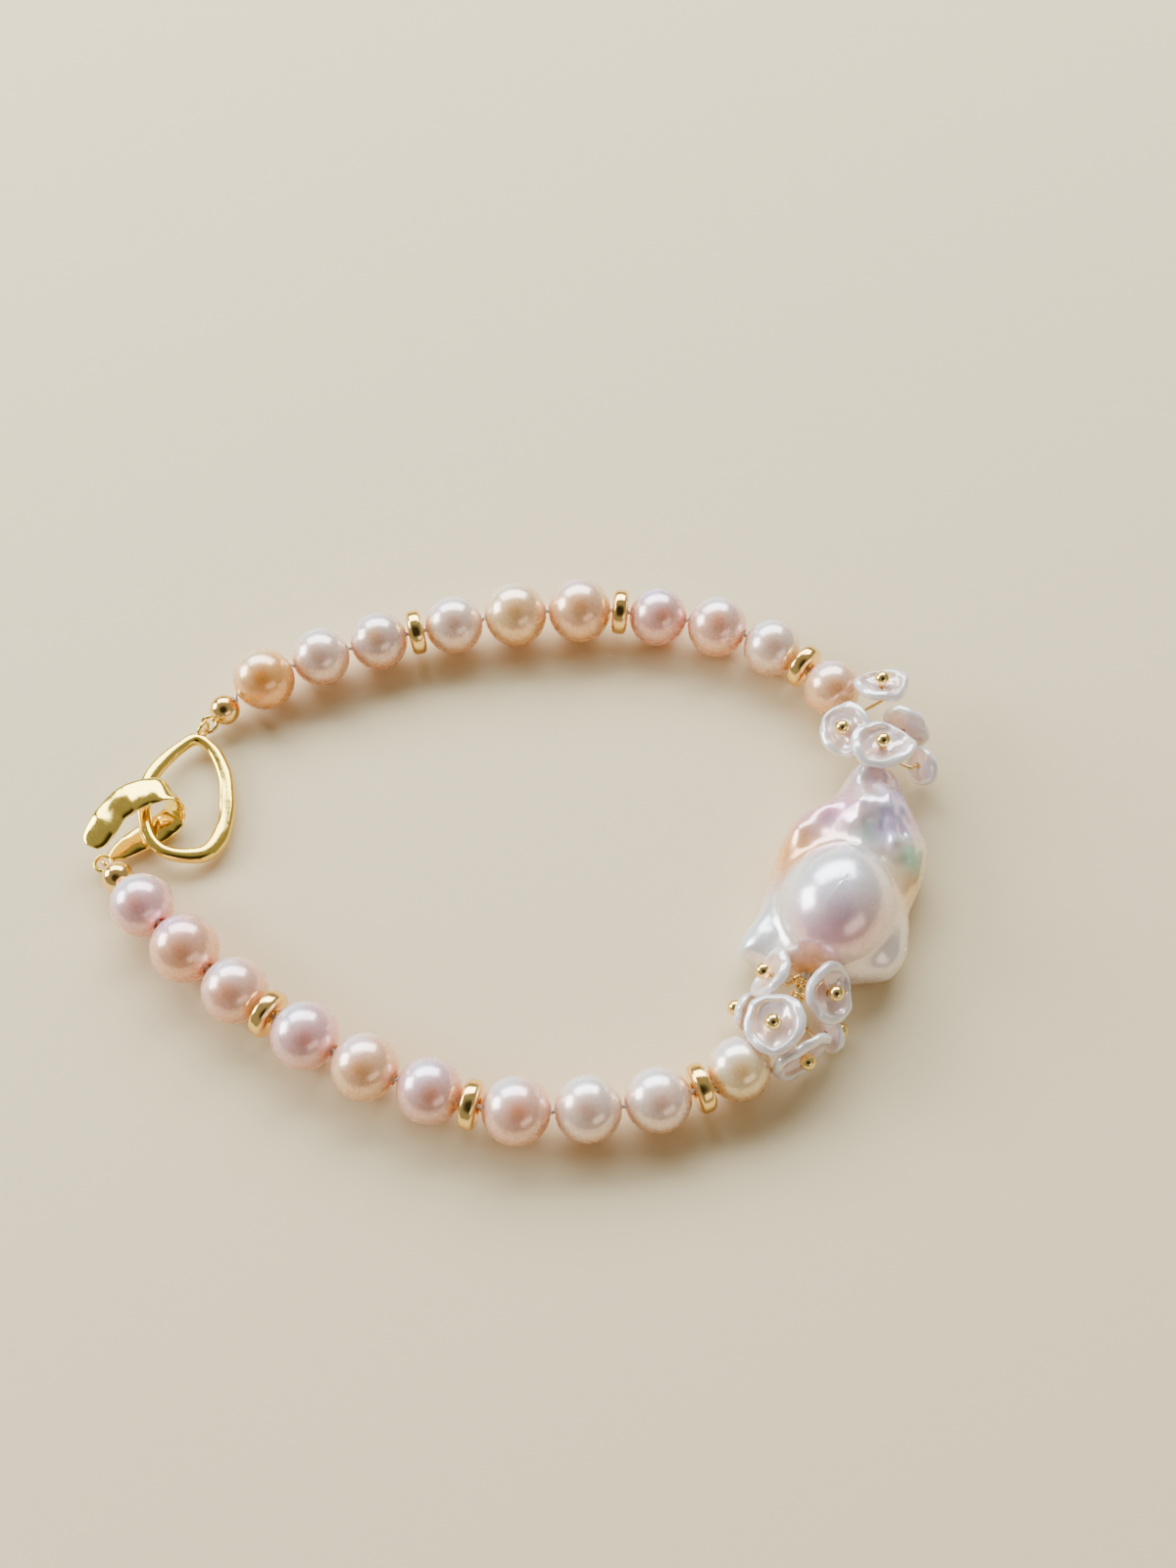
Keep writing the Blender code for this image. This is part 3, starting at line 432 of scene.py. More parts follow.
class NacreTone(Enum):
    """The pearl colours that the string holds: body colours with their painted bounce, reflection and highlight."""

    GOLD = Tone((0.97, 0.48, 0.11), (0.93, 0.35, 0.04), (0.97, 0.41, 0.08), (1.00, 0.80, 0.52))
    HONEY = Tone((1.00, 0.64, 0.30), (0.98, 0.48, 0.15), (1.00, 0.49, 0.14), (1.00, 0.92, 0.74))
    PEACH = Tone((1.00, 0.57, 0.28), (0.98, 0.42, 0.13), (1.00, 0.49, 0.16), (1.00, 0.84, 0.90))
    CREAM = Tone((1.00, 0.74, 0.37), (0.98, 0.58, 0.18), (0.98, 0.51, 0.17), (0.96, 0.90, 1.00))
    WHITE = Tone((0.97, 0.70, 0.54), (0.86, 0.50, 0.33), (0.98, 0.53, 0.27), (0.93, 0.96, 1.00))
    GREY = Tone((0.84, 0.59, 0.47), (0.92, 0.45, 0.19), (0.99, 0.49, 0.23), (0.92, 0.90, 0.94))
    ROSE = Tone((1.00, 0.56, 0.39), (0.99, 0.36, 0.16), (1.00, 0.46, 0.20), (0.90, 0.90, 1.00))
    LILAC = Tone((0.92, 0.52, 0.50), (0.88, 0.36, 0.28), (1.00, 0.47, 0.34), (0.74, 0.84, 1.00))
    MAUVE = Tone((0.92, 0.50, 0.41), (0.90, 0.36, 0.20), (0.99, 0.45, 0.26), (0.84, 0.80, 1.00))
    SUNSET = Tone((0.98, 0.51, 0.29), (0.96, 0.41, 0.19), (0.98, 0.41, 0.22), (0.96, 0.66, 1.00))


class Gold(Enum):
    """The three golds of the bracelet."""

    CLASP = GoldFinish("pale_clasp_gold", (0.97, 0.77, 0.17), (0.95, 0.60, 0.08), 0.11)
    BEAD = GoldFinish("rich_bead_gold", (1.0, 0.72, 0.25), (0.98, 0.58, 0.16), 0.12)
    PIN = GoldFinish("pin_gold", (0.97, 0.76, 0.30), (0.94, 0.62, 0.18), 0.1)

    def material(self) -> bpy.types.Material:
        """The gold's material, made once."""
        return bpy.data.materials.get(self.value.name) or self.value.material()


# Where everything lies

class Route:
    """Curve on the floor that is read by the length along it, and runs on straight past its end."""

    def __init__(self, points: np.ndarray) -> None:
        """Keeps the points and the length reached at each."""
        self.points = points
        self.arc = run_lengths(points)

    def at(self, arc: float) -> np.ndarray:
        """Point at this length along the curve."""
        place = np.array([np.interp(arc, self.arc, column) for column in self.points.T])
        last = self.points[-1] - self.points[-2]
        return place + max(0.0, arc - self.arc[-1]) * unit(last)


@dataclass(frozen=True)
class Bead:
    """A pearl, or a spacer where it has no tone. Sizes are shares of the pearl diameter."""

    tone: Optional[NacreTone] = None
    across: float = 0.0
    along: float = 0.0


@dataclass
class StringLayout:
    """Where the string's pieces lie, worked out as the solids are: from the chosen points of the two routes,
    opened until the two ends meet the eyes of the clasp."""

    pearl: float = 6.0 * MM
    gap: float = 0.15 * MM
    spacer: float = 1.55 * MM
    end_bead: float = END_BEAD
    end_rise: float = 0.2 * MM
    loop_radius: float = LOOP_RADIUS
    loop_wire: float = LOOP_WIRE
    floor_gap: float = FLOOR_GAP
    opening_range: tuple[float, float] = (0.6, 1.6)
    halvings: int = 40
    pin_height: float = 3.0 * MM
    baroque_length: float = 22.4 * MM
    baroque_turn: float = math.radians(71.8)
    cluster_lengths: tuple[float, float] = (6.6 * MM, 7.9 * MM)
    far_route: tuple = (
        (0.0, 0.0), (-0.9, 4.3), (-2.65, 8.85), (-8.1, 13.55), (-13.5, 16.1), (-23.2, 18.0), (-33.6, 17.75),
        (-43.5, 15.95), (-52.9, 13.05), (-58.5, 10.3), (-61.95, 7.9), (-64.2, 5.8),
    )
    near_route: tuple = (
        (0.0, 0.0), (-2.4, -4.2), (-6.6, -8.75), (-13.95, -11.5), (-26.2, -12.3), (-33.5, -10.3), (-39.2, -8.05),
        (-48.3, -2.85), (-56.2, 3.5), (-60.8, 8.2), (-64.1, 12.0), (-66.0, 13.7),
    )
    far_row: tuple = (
        Bead(NacreTone.PEACH, 0.933, 0.920), Bead(), Bead(NacreTone.WHITE, 0.947, 0.935),
        Bead(NacreTone.ROSE, 1.007, 0.985), Bead(NacreTone.MAUVE, 0.973, 0.965), Bead(),
        Bead(NacreTone.PEACH, 1.087, 1.050), Bead(NacreTone.HONEY, 1.073, 1.050),
        Bead(NacreTone.WHITE, 0.970, 0.975), Bead(), Bead(NacreTone.GREY, 0.963, 0.965),
        Bead(NacreTone.WHITE, 0.977, 0.960), Bead(NacreTone.GOLD, 1.027, 1.010),
    )
    near_row: tuple = (
        Bead(NacreTone.CREAM, 0.950, 0.955), Bead(), Bead(NacreTone.WHITE, 0.977, 0.985),
        Bead(NacreTone.WHITE, 1.003, 0.990), Bead(NacreTone.ROSE, 1.023, 1.025), Bead(),
        Bead(NacreTone.MAUVE, 0.990, 0.985), Bead(NacreTone.PEACH, 1.020, 1.005),
        Bead(NacreTone.LILAC, 1.030, 1.025), Bead(), Bead(NacreTone.ROSE, 1.010, 1.010),
        Bead(NacreTone.SUNSET, 1.057, 1.060), Bead(NacreTone.LILAC, 0.987, 1.000),
    )

    def solve(self, clasp: "Clasp") -> None:
        """Opens the routes until the rows' ends are as far apart as the clasp's eyes, then finds the origin.

        Args:
            clasp: gives the eyes in its own frame.
        """
        self.along = np.array([math.cos(self.baroque_turn), math.sin(self.baroque_turn)])
        self.across = np.array([self.along[1], -self.along[0]])
        self.end_height = self.end_bead / 2 + self.end_rise
        low, high = self.opening_range
        for _ in range(self.halvings):
            middle = (low + high) / 2
            self.open_by(middle, clasp)
            reach = np.linalg.norm((clasp.ring_eye - clasp.hook_eye)[:2])
            short = np.linalg.norm(self.far_eye - self.near_eye) < reach
            low, high = (middle, high) if short else (low, middle)
        own, laid = (clasp.hook_eye - clasp.ring_eye)[:2], self.near_eye - self.far_eye
        turn = math.atan2(laid[1], laid[0]) - math.atan2(own[1], own[0])
        self.clasp_spin = np.array([[math.cos(turn), -math.sin(turn), 0], [math.sin(turn), math.cos(turn), 0],
                                    [0, 0, 1]])
        ring_eye = np.array([*clasp.ring_eye[:2], 0.0])
        self.clasp_move = np.array([*self.far_eye, 0.0]) - self.clasp_spin @ ring_eye
        self.origin = np.zeros(3)
        seen = [np.mean(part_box(f"pearl_{number:02d}"), axis=0) - centre
                for number, centre in sorted(self.pearls().items())]
        self.origin = np.mean(seen, axis=0)

    def open_by(self, share: float, clasp: "Clasp") -> None:
        """Sets both routes at this share of their drawn size, and the eyes that the rows then reach."""
        self.routes, self.places, self.ends, eyes = [], [], [], []
        for sign, route, row, start, eye in (
            (1, self.far_route, self.far_row, self.cluster_lengths[0], clasp.ring_eye),
            (-1, self.near_route, self.near_row, self.cluster_lengths[1], clasp.hook_eye),
        ):
            start_point = sign * self.along * self.baroque_length / 2
            path = Route(start_point + share * MM * catmull_rom(np.array(route)))
            lengths = np.array([self.length(bead) for bead in row])
            outer = start + np.cumsum(lengths + self.gap)
            end = outer[-1] + self.gap + self.end_bead / 2
            reach = self.end_bead / 2 + 2 * self.loop_radius - self.loop_wire / 2
            level = math.sqrt(max(0.0, reach ** 2 - (self.end_height - eye[2]) ** 2))
            self.routes.append(path)
            self.places.append(outer - lengths / 2)
            self.ends.append(end)
            eyes.append(path.at(end + level))
        self.far_eye, self.near_eye = eyes

    def length(self, bead: Bead) -> float:
        """A bead's length along the thread."""
        return bead.along * self.pearl if bead.tone else self.spacer

    def row(self, side: int) -> tuple[tuple, np.ndarray]:
        """Beads of one row, and the centres along it from its petal cluster to its end bead.

        Args:
            side: 0 for the far row, 1 for the near one.

        Returns:
            The beads, and an array with one more centre before them and one after.
        """
        beads = (self.far_row, self.near_row)[side]
        path = self.routes[side]
        heights = np.array([bead.across * self.pearl / 2 + self.floor_gap for bead in beads])
        known = np.array([bead.tone is not None for bead in beads])
        levels = np.interp(np.arange(len(beads)), np.flatnonzero(known), heights[known])
        centres = [(*path.at(self.cluster_lengths[side] / 2), self.pin_height)]
        centres += [(*path.at(place), level) for place, level in zip(self.places[side], levels)]
        centres.append((*path.at(self.ends[side]), self.end_height))
        return beads, np.array(centres) + self.origin

    def beads(self) -> list[tuple[Bead, int, np.ndarray, np.ndarray]]:
        """Each bead with its number among its kind, its centre and the direction of its hole."""
        found = []
        far_kinds = [bead.tone is not None for bead in self.far_row]
        for side in (0, 1):
            beads, centres = self.row(side)
            ways = unit(centres[2:] - centres[:-2])
            kinds = [bead.tone is not None for bead in beads]
            for i, (bead, kind) in enumerate(zip(beads, kinds)):
                number = (kinds[i:].count(kind) if side == 0
                          else far_kinds.count(kind) + kinds[:i + 1].count(kind))
                found.append((bead, number, centres[i + 1], ways[i]))
        return found

    def pearls(self) -> dict[int, np.ndarray]:
        """Centres of the pearls, by number."""
        return {number: centre for bead, number, centre, _ in self.beads() if bead.tone}

    def laid(self, points: np.ndarray) -> np.ndarray:
        """Takes points of the clasp's own frame to their place on the bracelet."""
        return points @ self.clasp_spin.T + self.clasp_move + self.origin

    def drilled(self, across: np.ndarray, along: np.ndarray, height: np.ndarray) -> np.ndarray:
        """Takes (across, along, height) about the middle of the flanged pearl's hole to the frame."""
        level = across[..., None] * self.across + along[..., None] * self.along
        return np.concatenate([level, height[..., None]], axis=-1) + self.origin


# Pieces

@dataclass
class PearlRows:
    """The round pearls and the gold rondelles between them."""

    layout: StringLayout
    hole: float = THREAD_HOLE
    lip: float = 0.08 * MM
    uneven: float = 0.011
    outer_rows: int = 46
    bore_rows: int = 6
    sides: int = 72
    spacer_across: float = 4.5 * MM
    spacer_hole: float = 1.2 * MM

    def build(self) -> None:
        """Makes every pearl and rondelle."""
        finishes: dict[str, bpy.types.Material] = {}
        for bead, number, centre, way in self.layout.beads():
            if bead.tone is None:
                self.rondelle(number, centre, way)
                continue
            if bead.tone.name not in finishes:
                finishes[bead.tone.name] = NacreFinish("nacre_" + bead.tone.name.lower()).material()
            self.pearl(bead, number, centre, way, finishes[bead.tone.name])

    def pearl(self, bead: Bead, number: int, centre: np.ndarray, way: np.ndarray,
              finish: bpy.types.Material) -> None:
        """A drilled pearl: (radius, height) = (across / 2 sin a, along / 2 cos a) outside, rounded lips and a
        straight hole inside, all swollen by a soft ripple of the direction."""
        layout = self.layout
        half_across, half_along = bead.across * layout.pearl / 2, bead.along * layout.pearl / 2
        opening = math.asin((self.hole / 2 + self.lip) / half_across)
        a = np.linspace(opening, np.pi - opening, self.outer_rows)
        outside = np.column_stack([half_across * np.sin(a), half_along * np.cos(a)])
        depth = outside[0, 1] - self.lip
        inside = np.column_stack([np.full(self.bore_rows, self.hole / 2),
                                  np.linspace(-depth, depth, self.bore_rows)])
        shell = turned(np.vstack([outside, inside]), np.zeros(3), way, self.sides, loop_rows=True)
        spread = np.linalg.norm(shell.points, axis=-1, keepdims=True)
        facing = shell.points / spread
        outer = (np.arange(self.outer_rows + self.bore_rows) < self.outer_rows)[:, None, None]
        swell = ripple(facing, number, 7, 2.6)[..., None]
        points = shell.points * (1 + self.uneven * np.where(outer, swell - 0.6, 0.0))
        tint = self.tint(facing, bead.tone.value, number)
        piece = make_piece(f"round_pearl_{number:02d}", [Shell(points + centre, True)], finish, [tint])
        settle(piece, f"pearl_{number:02d}")

    @staticmethod
    def tint(facing: np.ndarray, tone: Tone, number: int) -> np.ndarray:
        """Colours by direction: the body, with painted warm bounce light towards the lower side near the floor, and
        two soft patches, each 1 at its middle and falling as a bell of the angle: a painted highlight in the
        overtone colour on the side turned to the window, and a painted dark reflection on the side facing the
        camera."""
        chance = np.random.default_rng(100 + number)
        # Painted warm light: the lower side, near the floor, is tinted towards the warm bounce colour.
        warm = np.clip((0.42 - facing[..., 2]) / 0.8, 0, 1)[..., None]
        colour = np.array(tone.body) + (np.array(tone.painted_warm_bounce) - np.array(tone.body)) * warm * (2 - warm)
        # Painted light patches: a highlight in the overtone colour towards the window, and a dark reflection
        # towards the camera.
        for middle, width, strength, patch in (((-0.25, 0.50, 0.83), 0.62, 0.9, tone.orient_and_painted_highlight),
                                               ((0.06, -0.42, 0.90), 0.34, 0.85, tone.core)):
            place = np.array(middle) + chance.normal(scale=0.07, size=3)
            away = np.linalg.norm(facing - place / np.linalg.norm(place), axis=-1)
            away = away * (1 + 0.18 * ripple(facing, 40 + number, 6, 1.4))
            colour += (np.array(patch) - colour) * strength * np.exp(-(away / width) ** 2)[..., None]
        return colour

    def rondelle(self, number: int, centre: np.ndarray, way: np.ndarray) -> None:
        """Gold spacer: a ring whose section is a rounded block, (cos^0.75, sin^0.6) stretched to its size."""
        rim, hole = self.spacer_across / 2, self.spacer_hole / 2
        a = around(44)
        profile = np.column_stack([(hole + rim) / 2 + (rim - hole) / 2 * squared(np.cos(a), 0.75),
                                   self.layout.spacer / 2 * squared(np.sin(a), 0.6)])
        shell = turned(profile, np.zeros(3), way, 84, loop_rows=True)
        wear = 1 + ripple(shell.points, 300 + number, 6, 1.6 * MM)
        worked = shell.points * (1 - 0.006 * wear)[..., None]
        piece = make_piece(f"rondelle_{number}", [Shell(worked + centre, True)], Gold.BEAD.material())
        settle(piece, f"spacer_{number}")


@dataclass
class Clasp:
    """Hammered pear-shaped ring, ribbon hook, and the round gold beads that hold them to the string."""

    ring_length: float = 12.9 * MM
    ring_width: float = 7.8 * MM
    ring_band: float = 1.5 * MM
    ring_height: float = 1.2 * MM
    hook_length: float = 8.3 * MM
    hook_opening: float = 3.15 * MM
    hook_ribbon: float = 3.0 * MM
    hook_thickness: float = 0.85 * MM
    clearance: float = 0.3 * MM
    loop_radius: float = LOOP_RADIUS
    loop_wire: float = LOOP_WIRE
    floor_gap: float = FLOOR_GAP
    bead: float = END_BEAD
    bore: float = THREAD_HOLE
    ring_facets: tuple[float, float] = (4.2 * MM, 0.07)
    hook_facets: tuple[float, float] = (2.7 * MM, 0.30)
    grip: tuple[float, float] = (-0.495, -0.120)
    eye_turn: float = math.radians(54)
    hook_across: tuple[float, float, float] = (0.55, -0.835, 0.0)
    outline: tuple = (
        (0.200, 0.497, 0.80), (0.395, 0.372, 0.84), (0.495, 0.163, 1.02), (0.500, -0.030, 1.08),
        (0.455, -0.236, 1.12), (0.335, -0.405, 1.22), (0.165, -0.492, 1.16), (-0.085, -0.487, 0.94),
        (-0.315, -0.428, 0.86), (-0.462, -0.305, 0.88), (-0.500, -0.140, 0.92), (-0.485, 0.030, 1.00),
        (-0.410, 0.180, 1.06), (-0.255, 0.310, 1.00), (-0.030, 0.430, 0.86),
    )
    hook_route: tuple = (
        (-0.600, -0.370, 0.810, 0.50, 0.65), (-0.540, -0.290, 0.865, 0.92, 0.95),
        (-0.420, -0.135, 0.945, 1.05, 1.05), (-0.300, 0.010, 0.985, 1.00, 0.90),
        (-0.150, 0.105, 1.030, 1.10, 1.10), (0.050, 0.175, 1.010, 1.05, 0.95), (0.250, 0.175, 0.940, 0.95, 1.00),
        (0.350, 0.135, 0.740, 0.95, 0.95), (0.355, 0.075, 0.440, 0.95, 0.95), (0.315, 0.005, 0.160, 0.98, 1.00),
        (0.215, -0.065, 0.030, 1.00, 1.00), (0.045, -0.145, 0.000, 0.98, 1.00),
        (-0.150, -0.230, 0.010, 0.92, 1.00), (-0.330, -0.325, 0.045, 0.70, 0.90),
        (-0.450, -0.400, 0.080, 0.34, 0.70),
    )

    def __post_init__(self) -> None:
        """Finds the heights at which the strands lie, and the two eyes."""
        self.arm_height = self.hook_thickness / 2 + self.floor_gap
        self.strand_height = self.arm_height + self.hook_thickness / 2 + self.clearance + self.ring_height / 2
        self.rest_height = self.ring_height / 2 + self.floor_gap + 0.1 * self.ring_band
        top = np.array(self.outline[0])
        seat = top[2] * self.ring_band / 2 + self.loop_radius - self.loop_wire / 2
        self.outward = np.array([math.cos(self.eye_turn), math.sin(self.eye_turn), 0.0])
        self.ring_eye = self.ring_points(top[:2]) + seat * self.outward
        end, before = self.hook_points(np.array(self.hook_route)[[-1, -2], :3])
        self.hook_eye = end + unit((end - before) * (1, 1, 0)) * self.loop_radius

    def ring_points(self, shares: np.ndarray) -> np.ndarray:
        """Points of the tilted ring: its right side rests low and its left strand lies in the hook."""
        across, along = shares[..., 0], shares[..., 1]
        rise = (self.strand_height - self.rest_height) * (0.5 - across)
        return np.stack([(across - self.grip[0]) * self.ring_width, (along - self.grip[1]) * self.ring_length,
                         self.rest_height + rise], axis=-1)

    def hook_points(self, shares: np.ndarray) -> np.ndarray:
        """Points of the hook's centreline from shares of its length and opening."""
        return shares * (self.hook_length, self.hook_length, self.hook_opening) + (0.0, 0.0, self.arm_height)

    @staticmethod
    def ribbon(path: np.ndarray, widths: np.ndarray, heights: np.ndarray, across: tuple,
               closed: bool, facets: tuple[float, float]) -> np.ndarray:
        """Hammered band: a superellipse (cos^0.8, sin^0.8) of these widths and heights carried along the path,
        whose thickness drops by |sin| of the way along into shallow facets between blunt, leaning ridges.

        Args:
            path: centreline.
            widths: width at each point.
            heights: thickness at each point.
            across: direction of the width.
            closed: whether the path is a loop.
            facets: length of a facet along the path, and its depth as a share of the thickness.

        Returns:
            A grid of points.
        """
        turns = around(LOOP_STEPS)
        side, rise = np.cos(turns), np.sin(turns)
        block = np.column_stack([squared(side, 0.8), squared(rise, 0.8)])
        arc = run_lengths(path)
        count = max(1, round(arc[-1] / facets[0]))
        phase = np.pi * count * arc / arc[-1]
        lean = 0.55 * side[None] + 0.5 * np.sin(phase / count * 6)[:, None]
        hollow = np.sqrt(np.sin(phase[:, None] + lean) ** 2 + 0.02)
        pressed = 1 - facets[1] * hollow[..., None] * np.abs(rise)[None, :, None]
        outline = block[None] * np.column_stack([widths, heights])[:, None] / 2 * pressed
        return sections(path, outline, across, closed)

    def build(self, layout: StringLayout) -> None:
        """Makes the ring, the hook and the two end beads."""
        self.ring(layout)
        self.hook(layout)
        for side, (eye, flat) in enumerate(((self.ring_eye, True), (self.hook_eye, False))):
            self.end_bead(layout, side, layout.laid(eye), flat)

    def ring(self, layout: StringLayout) -> None:
        """The pear ring and the upright eye soldered to its top."""
        table = catmull_rom(np.array(self.outline), closed=True, steps=20)
        band = self.ribbon(self.ring_points(table[:, :2]), self.ring_height * (0.5 + 0.5 * table[:, 2]),
                           self.ring_band * table[:, 2], (0.0, 0.0, 1.0), True, self.ring_facets)
        self.soldered("ring", Shell(layout.laid(band), True), layout, self.ring_eye, self.outward,
                      (0.0, 0.0, 1.0))

    def hook(self, layout: StringLayout) -> None:
        """The folded ribbon and the flat eye at its narrow end."""
        table = catmull_rom(np.array(self.hook_route), steps=16)
        ends = np.ones(len(table))
        ends[[0, -1]], ends[[1, -2]] = TIP_SHARE, 0.85
        band = self.ribbon(self.hook_points(table[:, :3]), self.hook_ribbon * table[:, 3] * ends,
                           self.hook_thickness * table[:, 4] * ends, self.hook_across, False, self.hook_facets)
        self.soldered("hook", Shell(layout.laid(band)), layout, self.hook_eye, (1.0, 0.0, 0.0), (0.0, 1.0, 0.0))

    def soldered(self, name: str, band: Shell, layout: StringLayout, eye: np.ndarray, first: Sequence[float],
                 second: Sequence[float]) -> None:
        """Makes a clasp piece of its band and its wire eye, which lies in the plane of two directions.

        Args:
            name: "ring" or "hook".
            band: the hammered band, laid on the bracelet.
            layout: lays the eye.
            eye: middle of the eye, in the clasp's own frame.
            first: one direction in the eye's plane.
            second: the other, square to it.
        """
        loop = circle_points(eye, self.loop_radius, first, second, around(LOOP_STEPS))
        shells = [band, tube(layout.laid(loop), self.loop_wire, closed=True)]
        settle(make_piece("hammered_" + name, shells, Gold.CLASP.material()), "clasp_" + name)

    def end_bead(self, layout: StringLayout, side: int, eye: np.ndarray, flat: bool) -> None:
        """Round gold bead with a blind bore for the thread, and the wire loop that passes through the clasp's
        eye."""
        _, centres = layout.row(side)
        centre = centres[-1]
        inward = unit(centres[-1] - centres[-2])
        radius, bore = self.bead / 2, self.bore / 2
        a = np.linspace(0.03, np.pi - math.asin(bore / radius), 40)
        skin = np.column_stack([radius * np.sin(a), radius * np.cos(a)])
        profile = np.vstack([skin, [(bore, 0.0), (bore * 0.1, 0.0)]])
        ball = turned(profile, centre, inward, 56, loop_rows=False)
        outward = unit(eye - centre)
        sideways = unit(np.cross((0.0, 0.0, 1.0), outward))
        second = sideways if flat else np.cross(outward, sideways)
        loop = circle_points(eye - outward * self.loop_radius, self.loop_radius, outward, second,
                             around(LOOP_STEPS))
        collar = np.linspace(radius * 0.9, radius * 1.12, 4)[:, None] * outward + centre
        piece = make_piece(f"round_gold_bead_{side + 1}",
                           [ball, tube(loop, self.loop_wire, closed=True), tube(collar, 1.6 * self.loop_wire)],
                           Gold.BEAD.material())
        settle(piece, f"end_bead_{side + 1}")


@dataclass
class FlangedPearl:
    """The large pearl: a round dome on a wrinkled flange that runs out into lobes and a neck.

    Tables are in shares of its drilled length about the middle of the hole, as (across, along).
    """

    layout: StringLayout
    rim_height: float = 2.6 * MM
    flange: float = 4.0 * MM
    dome_radius: float = 5.8 * MM
    dome_height: float = 10.2 * MM
    narrowing: float = 0.88
    blend: float = 1.3 * MM
    dome: tuple[float, float] = (0.04, -0.21)
    hole: float = 1.2 * MM
    overrun: float = 1.3
    bore_tint: Colour = (0.90, 0.78, 0.66)
    ground: Colour = (0.96, 0.84, 0.72)
    # Dome colours: white, a painted highlight on the dome's back; mauve, partly painted shade on its lower side;
    # peach, its right side.
    dome_colours: tuple[Colour, Colour, Colour] = ((0.92, 0.94, 1.00), (0.92, 0.48, 0.56), (1.00, 0.70, 0.52))
    fold_rise: float = 0.09 * MM
    crinkle_rise: float = 0.11 * MM
    sides: int = 320
    outline: tuple = (
        (2, 0.304, 0.9), (19, 0.300, 0.9), (33, 0.350, 0.85), (41, 0.404, 0.8), (50, 0.471, 0.8), (58, 0.518, 0.85),
        (66, 0.551, 0.9), (74, 0.600, 1.0), (82, 0.690, 1.1), (86, 0.722, 1.15), (90, 0.725, 1.15),
        (94, 0.715, 1.15), (98, 0.675, 1.15), (103, 0.570, 1.1), (109, 0.505, 1.0), (119, 0.497, 0.9),
        (128, 0.456, 0.85), (139, 0.393, 0.8), (156, 0.327, 0.8), (177, 0.303, 0.8), (196, 0.314, 0.8),
        (213, 0.400, 0.75), (221, 0.427, 0.75), (229, 0.390, 0.8), (240, 0.352, 0.95), (251, 0.320, 1.1),
        (277, 0.275, 0.9), (295, 0.283, 0.8), (312, 0.303, 0.8), (326, 0.333, 0.8), (342, 0.330, 0.85),
    )
    lobes: tuple = (
        (0.000, 0.440, 0.075, 0.42), (0.190, 0.300, 0.085, 0.40), (0.265, 0.120, 0.090, 0.28),
        (0.050, 0.230, 0.100, 0.34), (-0.120, 0.215, 0.060, 0.32), (-0.215, 0.090, 0.065, 0.25),
        (-0.250, -0.200, 0.080, 0.12),
    )
    # (across and along where it starts, across and along where it ends, half width, rise in mm)
    ridges: tuple = (
        (-0.235, 0.200, -0.25, -0.08, 0.050, 0.14), (-0.140, 0.250, -0.18, 0.00, 0.050, 0.20),
        (0.315, 0.19, 0.345, -0.12, 0.016, 0.5), (0.09, 0.36, 0.19, 0.12, 0.030, 0.5),
        (-0.02, 0.36, 0.03, 0.16, 0.030, 0.35), (-0.30, -0.36, -0.22, -0.14, 0.050, 0.3),
    )
    # (across, along, radius, colour, strength), painted one over the other. The two cream-yellow spots on the
    # upper-left lobe are painted highlights.
    colours: tuple = (
        (-0.22, -0.03, 0.25, (1.00, 0.46, 0.13), 1.0), (-0.25, 0.17, 0.09, (0.98, 0.56, 0.50), 0.9),
        (-0.13, 0.25, 0.06, (1.00, 0.86, 0.42), 0.85), (0.33, -0.02, 0.14, (1.00, 0.58, 0.20), 0.95),
        (-0.08, 0.19, 0.11, (1.00, 0.46, 0.68), 0.95), (-0.19, 0.24, 0.05, (1.00, 0.84, 0.38), 0.9),
        (0.27, 0.13, 0.11, (0.90, 0.74, 0.34), 0.9), (0.08, 0.12, 0.05, (0.62, 1.00, 0.88), 0.85),
        (0.16, 0.17, 0.09, (0.82, 0.70, 1.00), 1.0),
        (0.27, 0.08, 0.05, (0.62, 1.00, 0.68), 0.9), (0.20, 0.33, 0.12, (0.58, 0.46, 1.00), 1.0),
        (0.23, 0.24, 0.05, (1.00, 0.50, 0.88), 0.85), (0.02, 0.46, 0.11, (0.70, 0.54, 0.68), 0.95),
        (-0.27, -0.36, 0.15, (0.88, 0.93, 1.00), 0.95), (-0.32, -0.44, 0.06, (0.62, 0.94, 0.98), 0.8),
        (0.20, -0.46, 0.20, (1.00, 0.86, 0.80), 0.95), (0.00, -0.50, 0.07, (1.00, 0.52, 0.18), 0.9),
    )

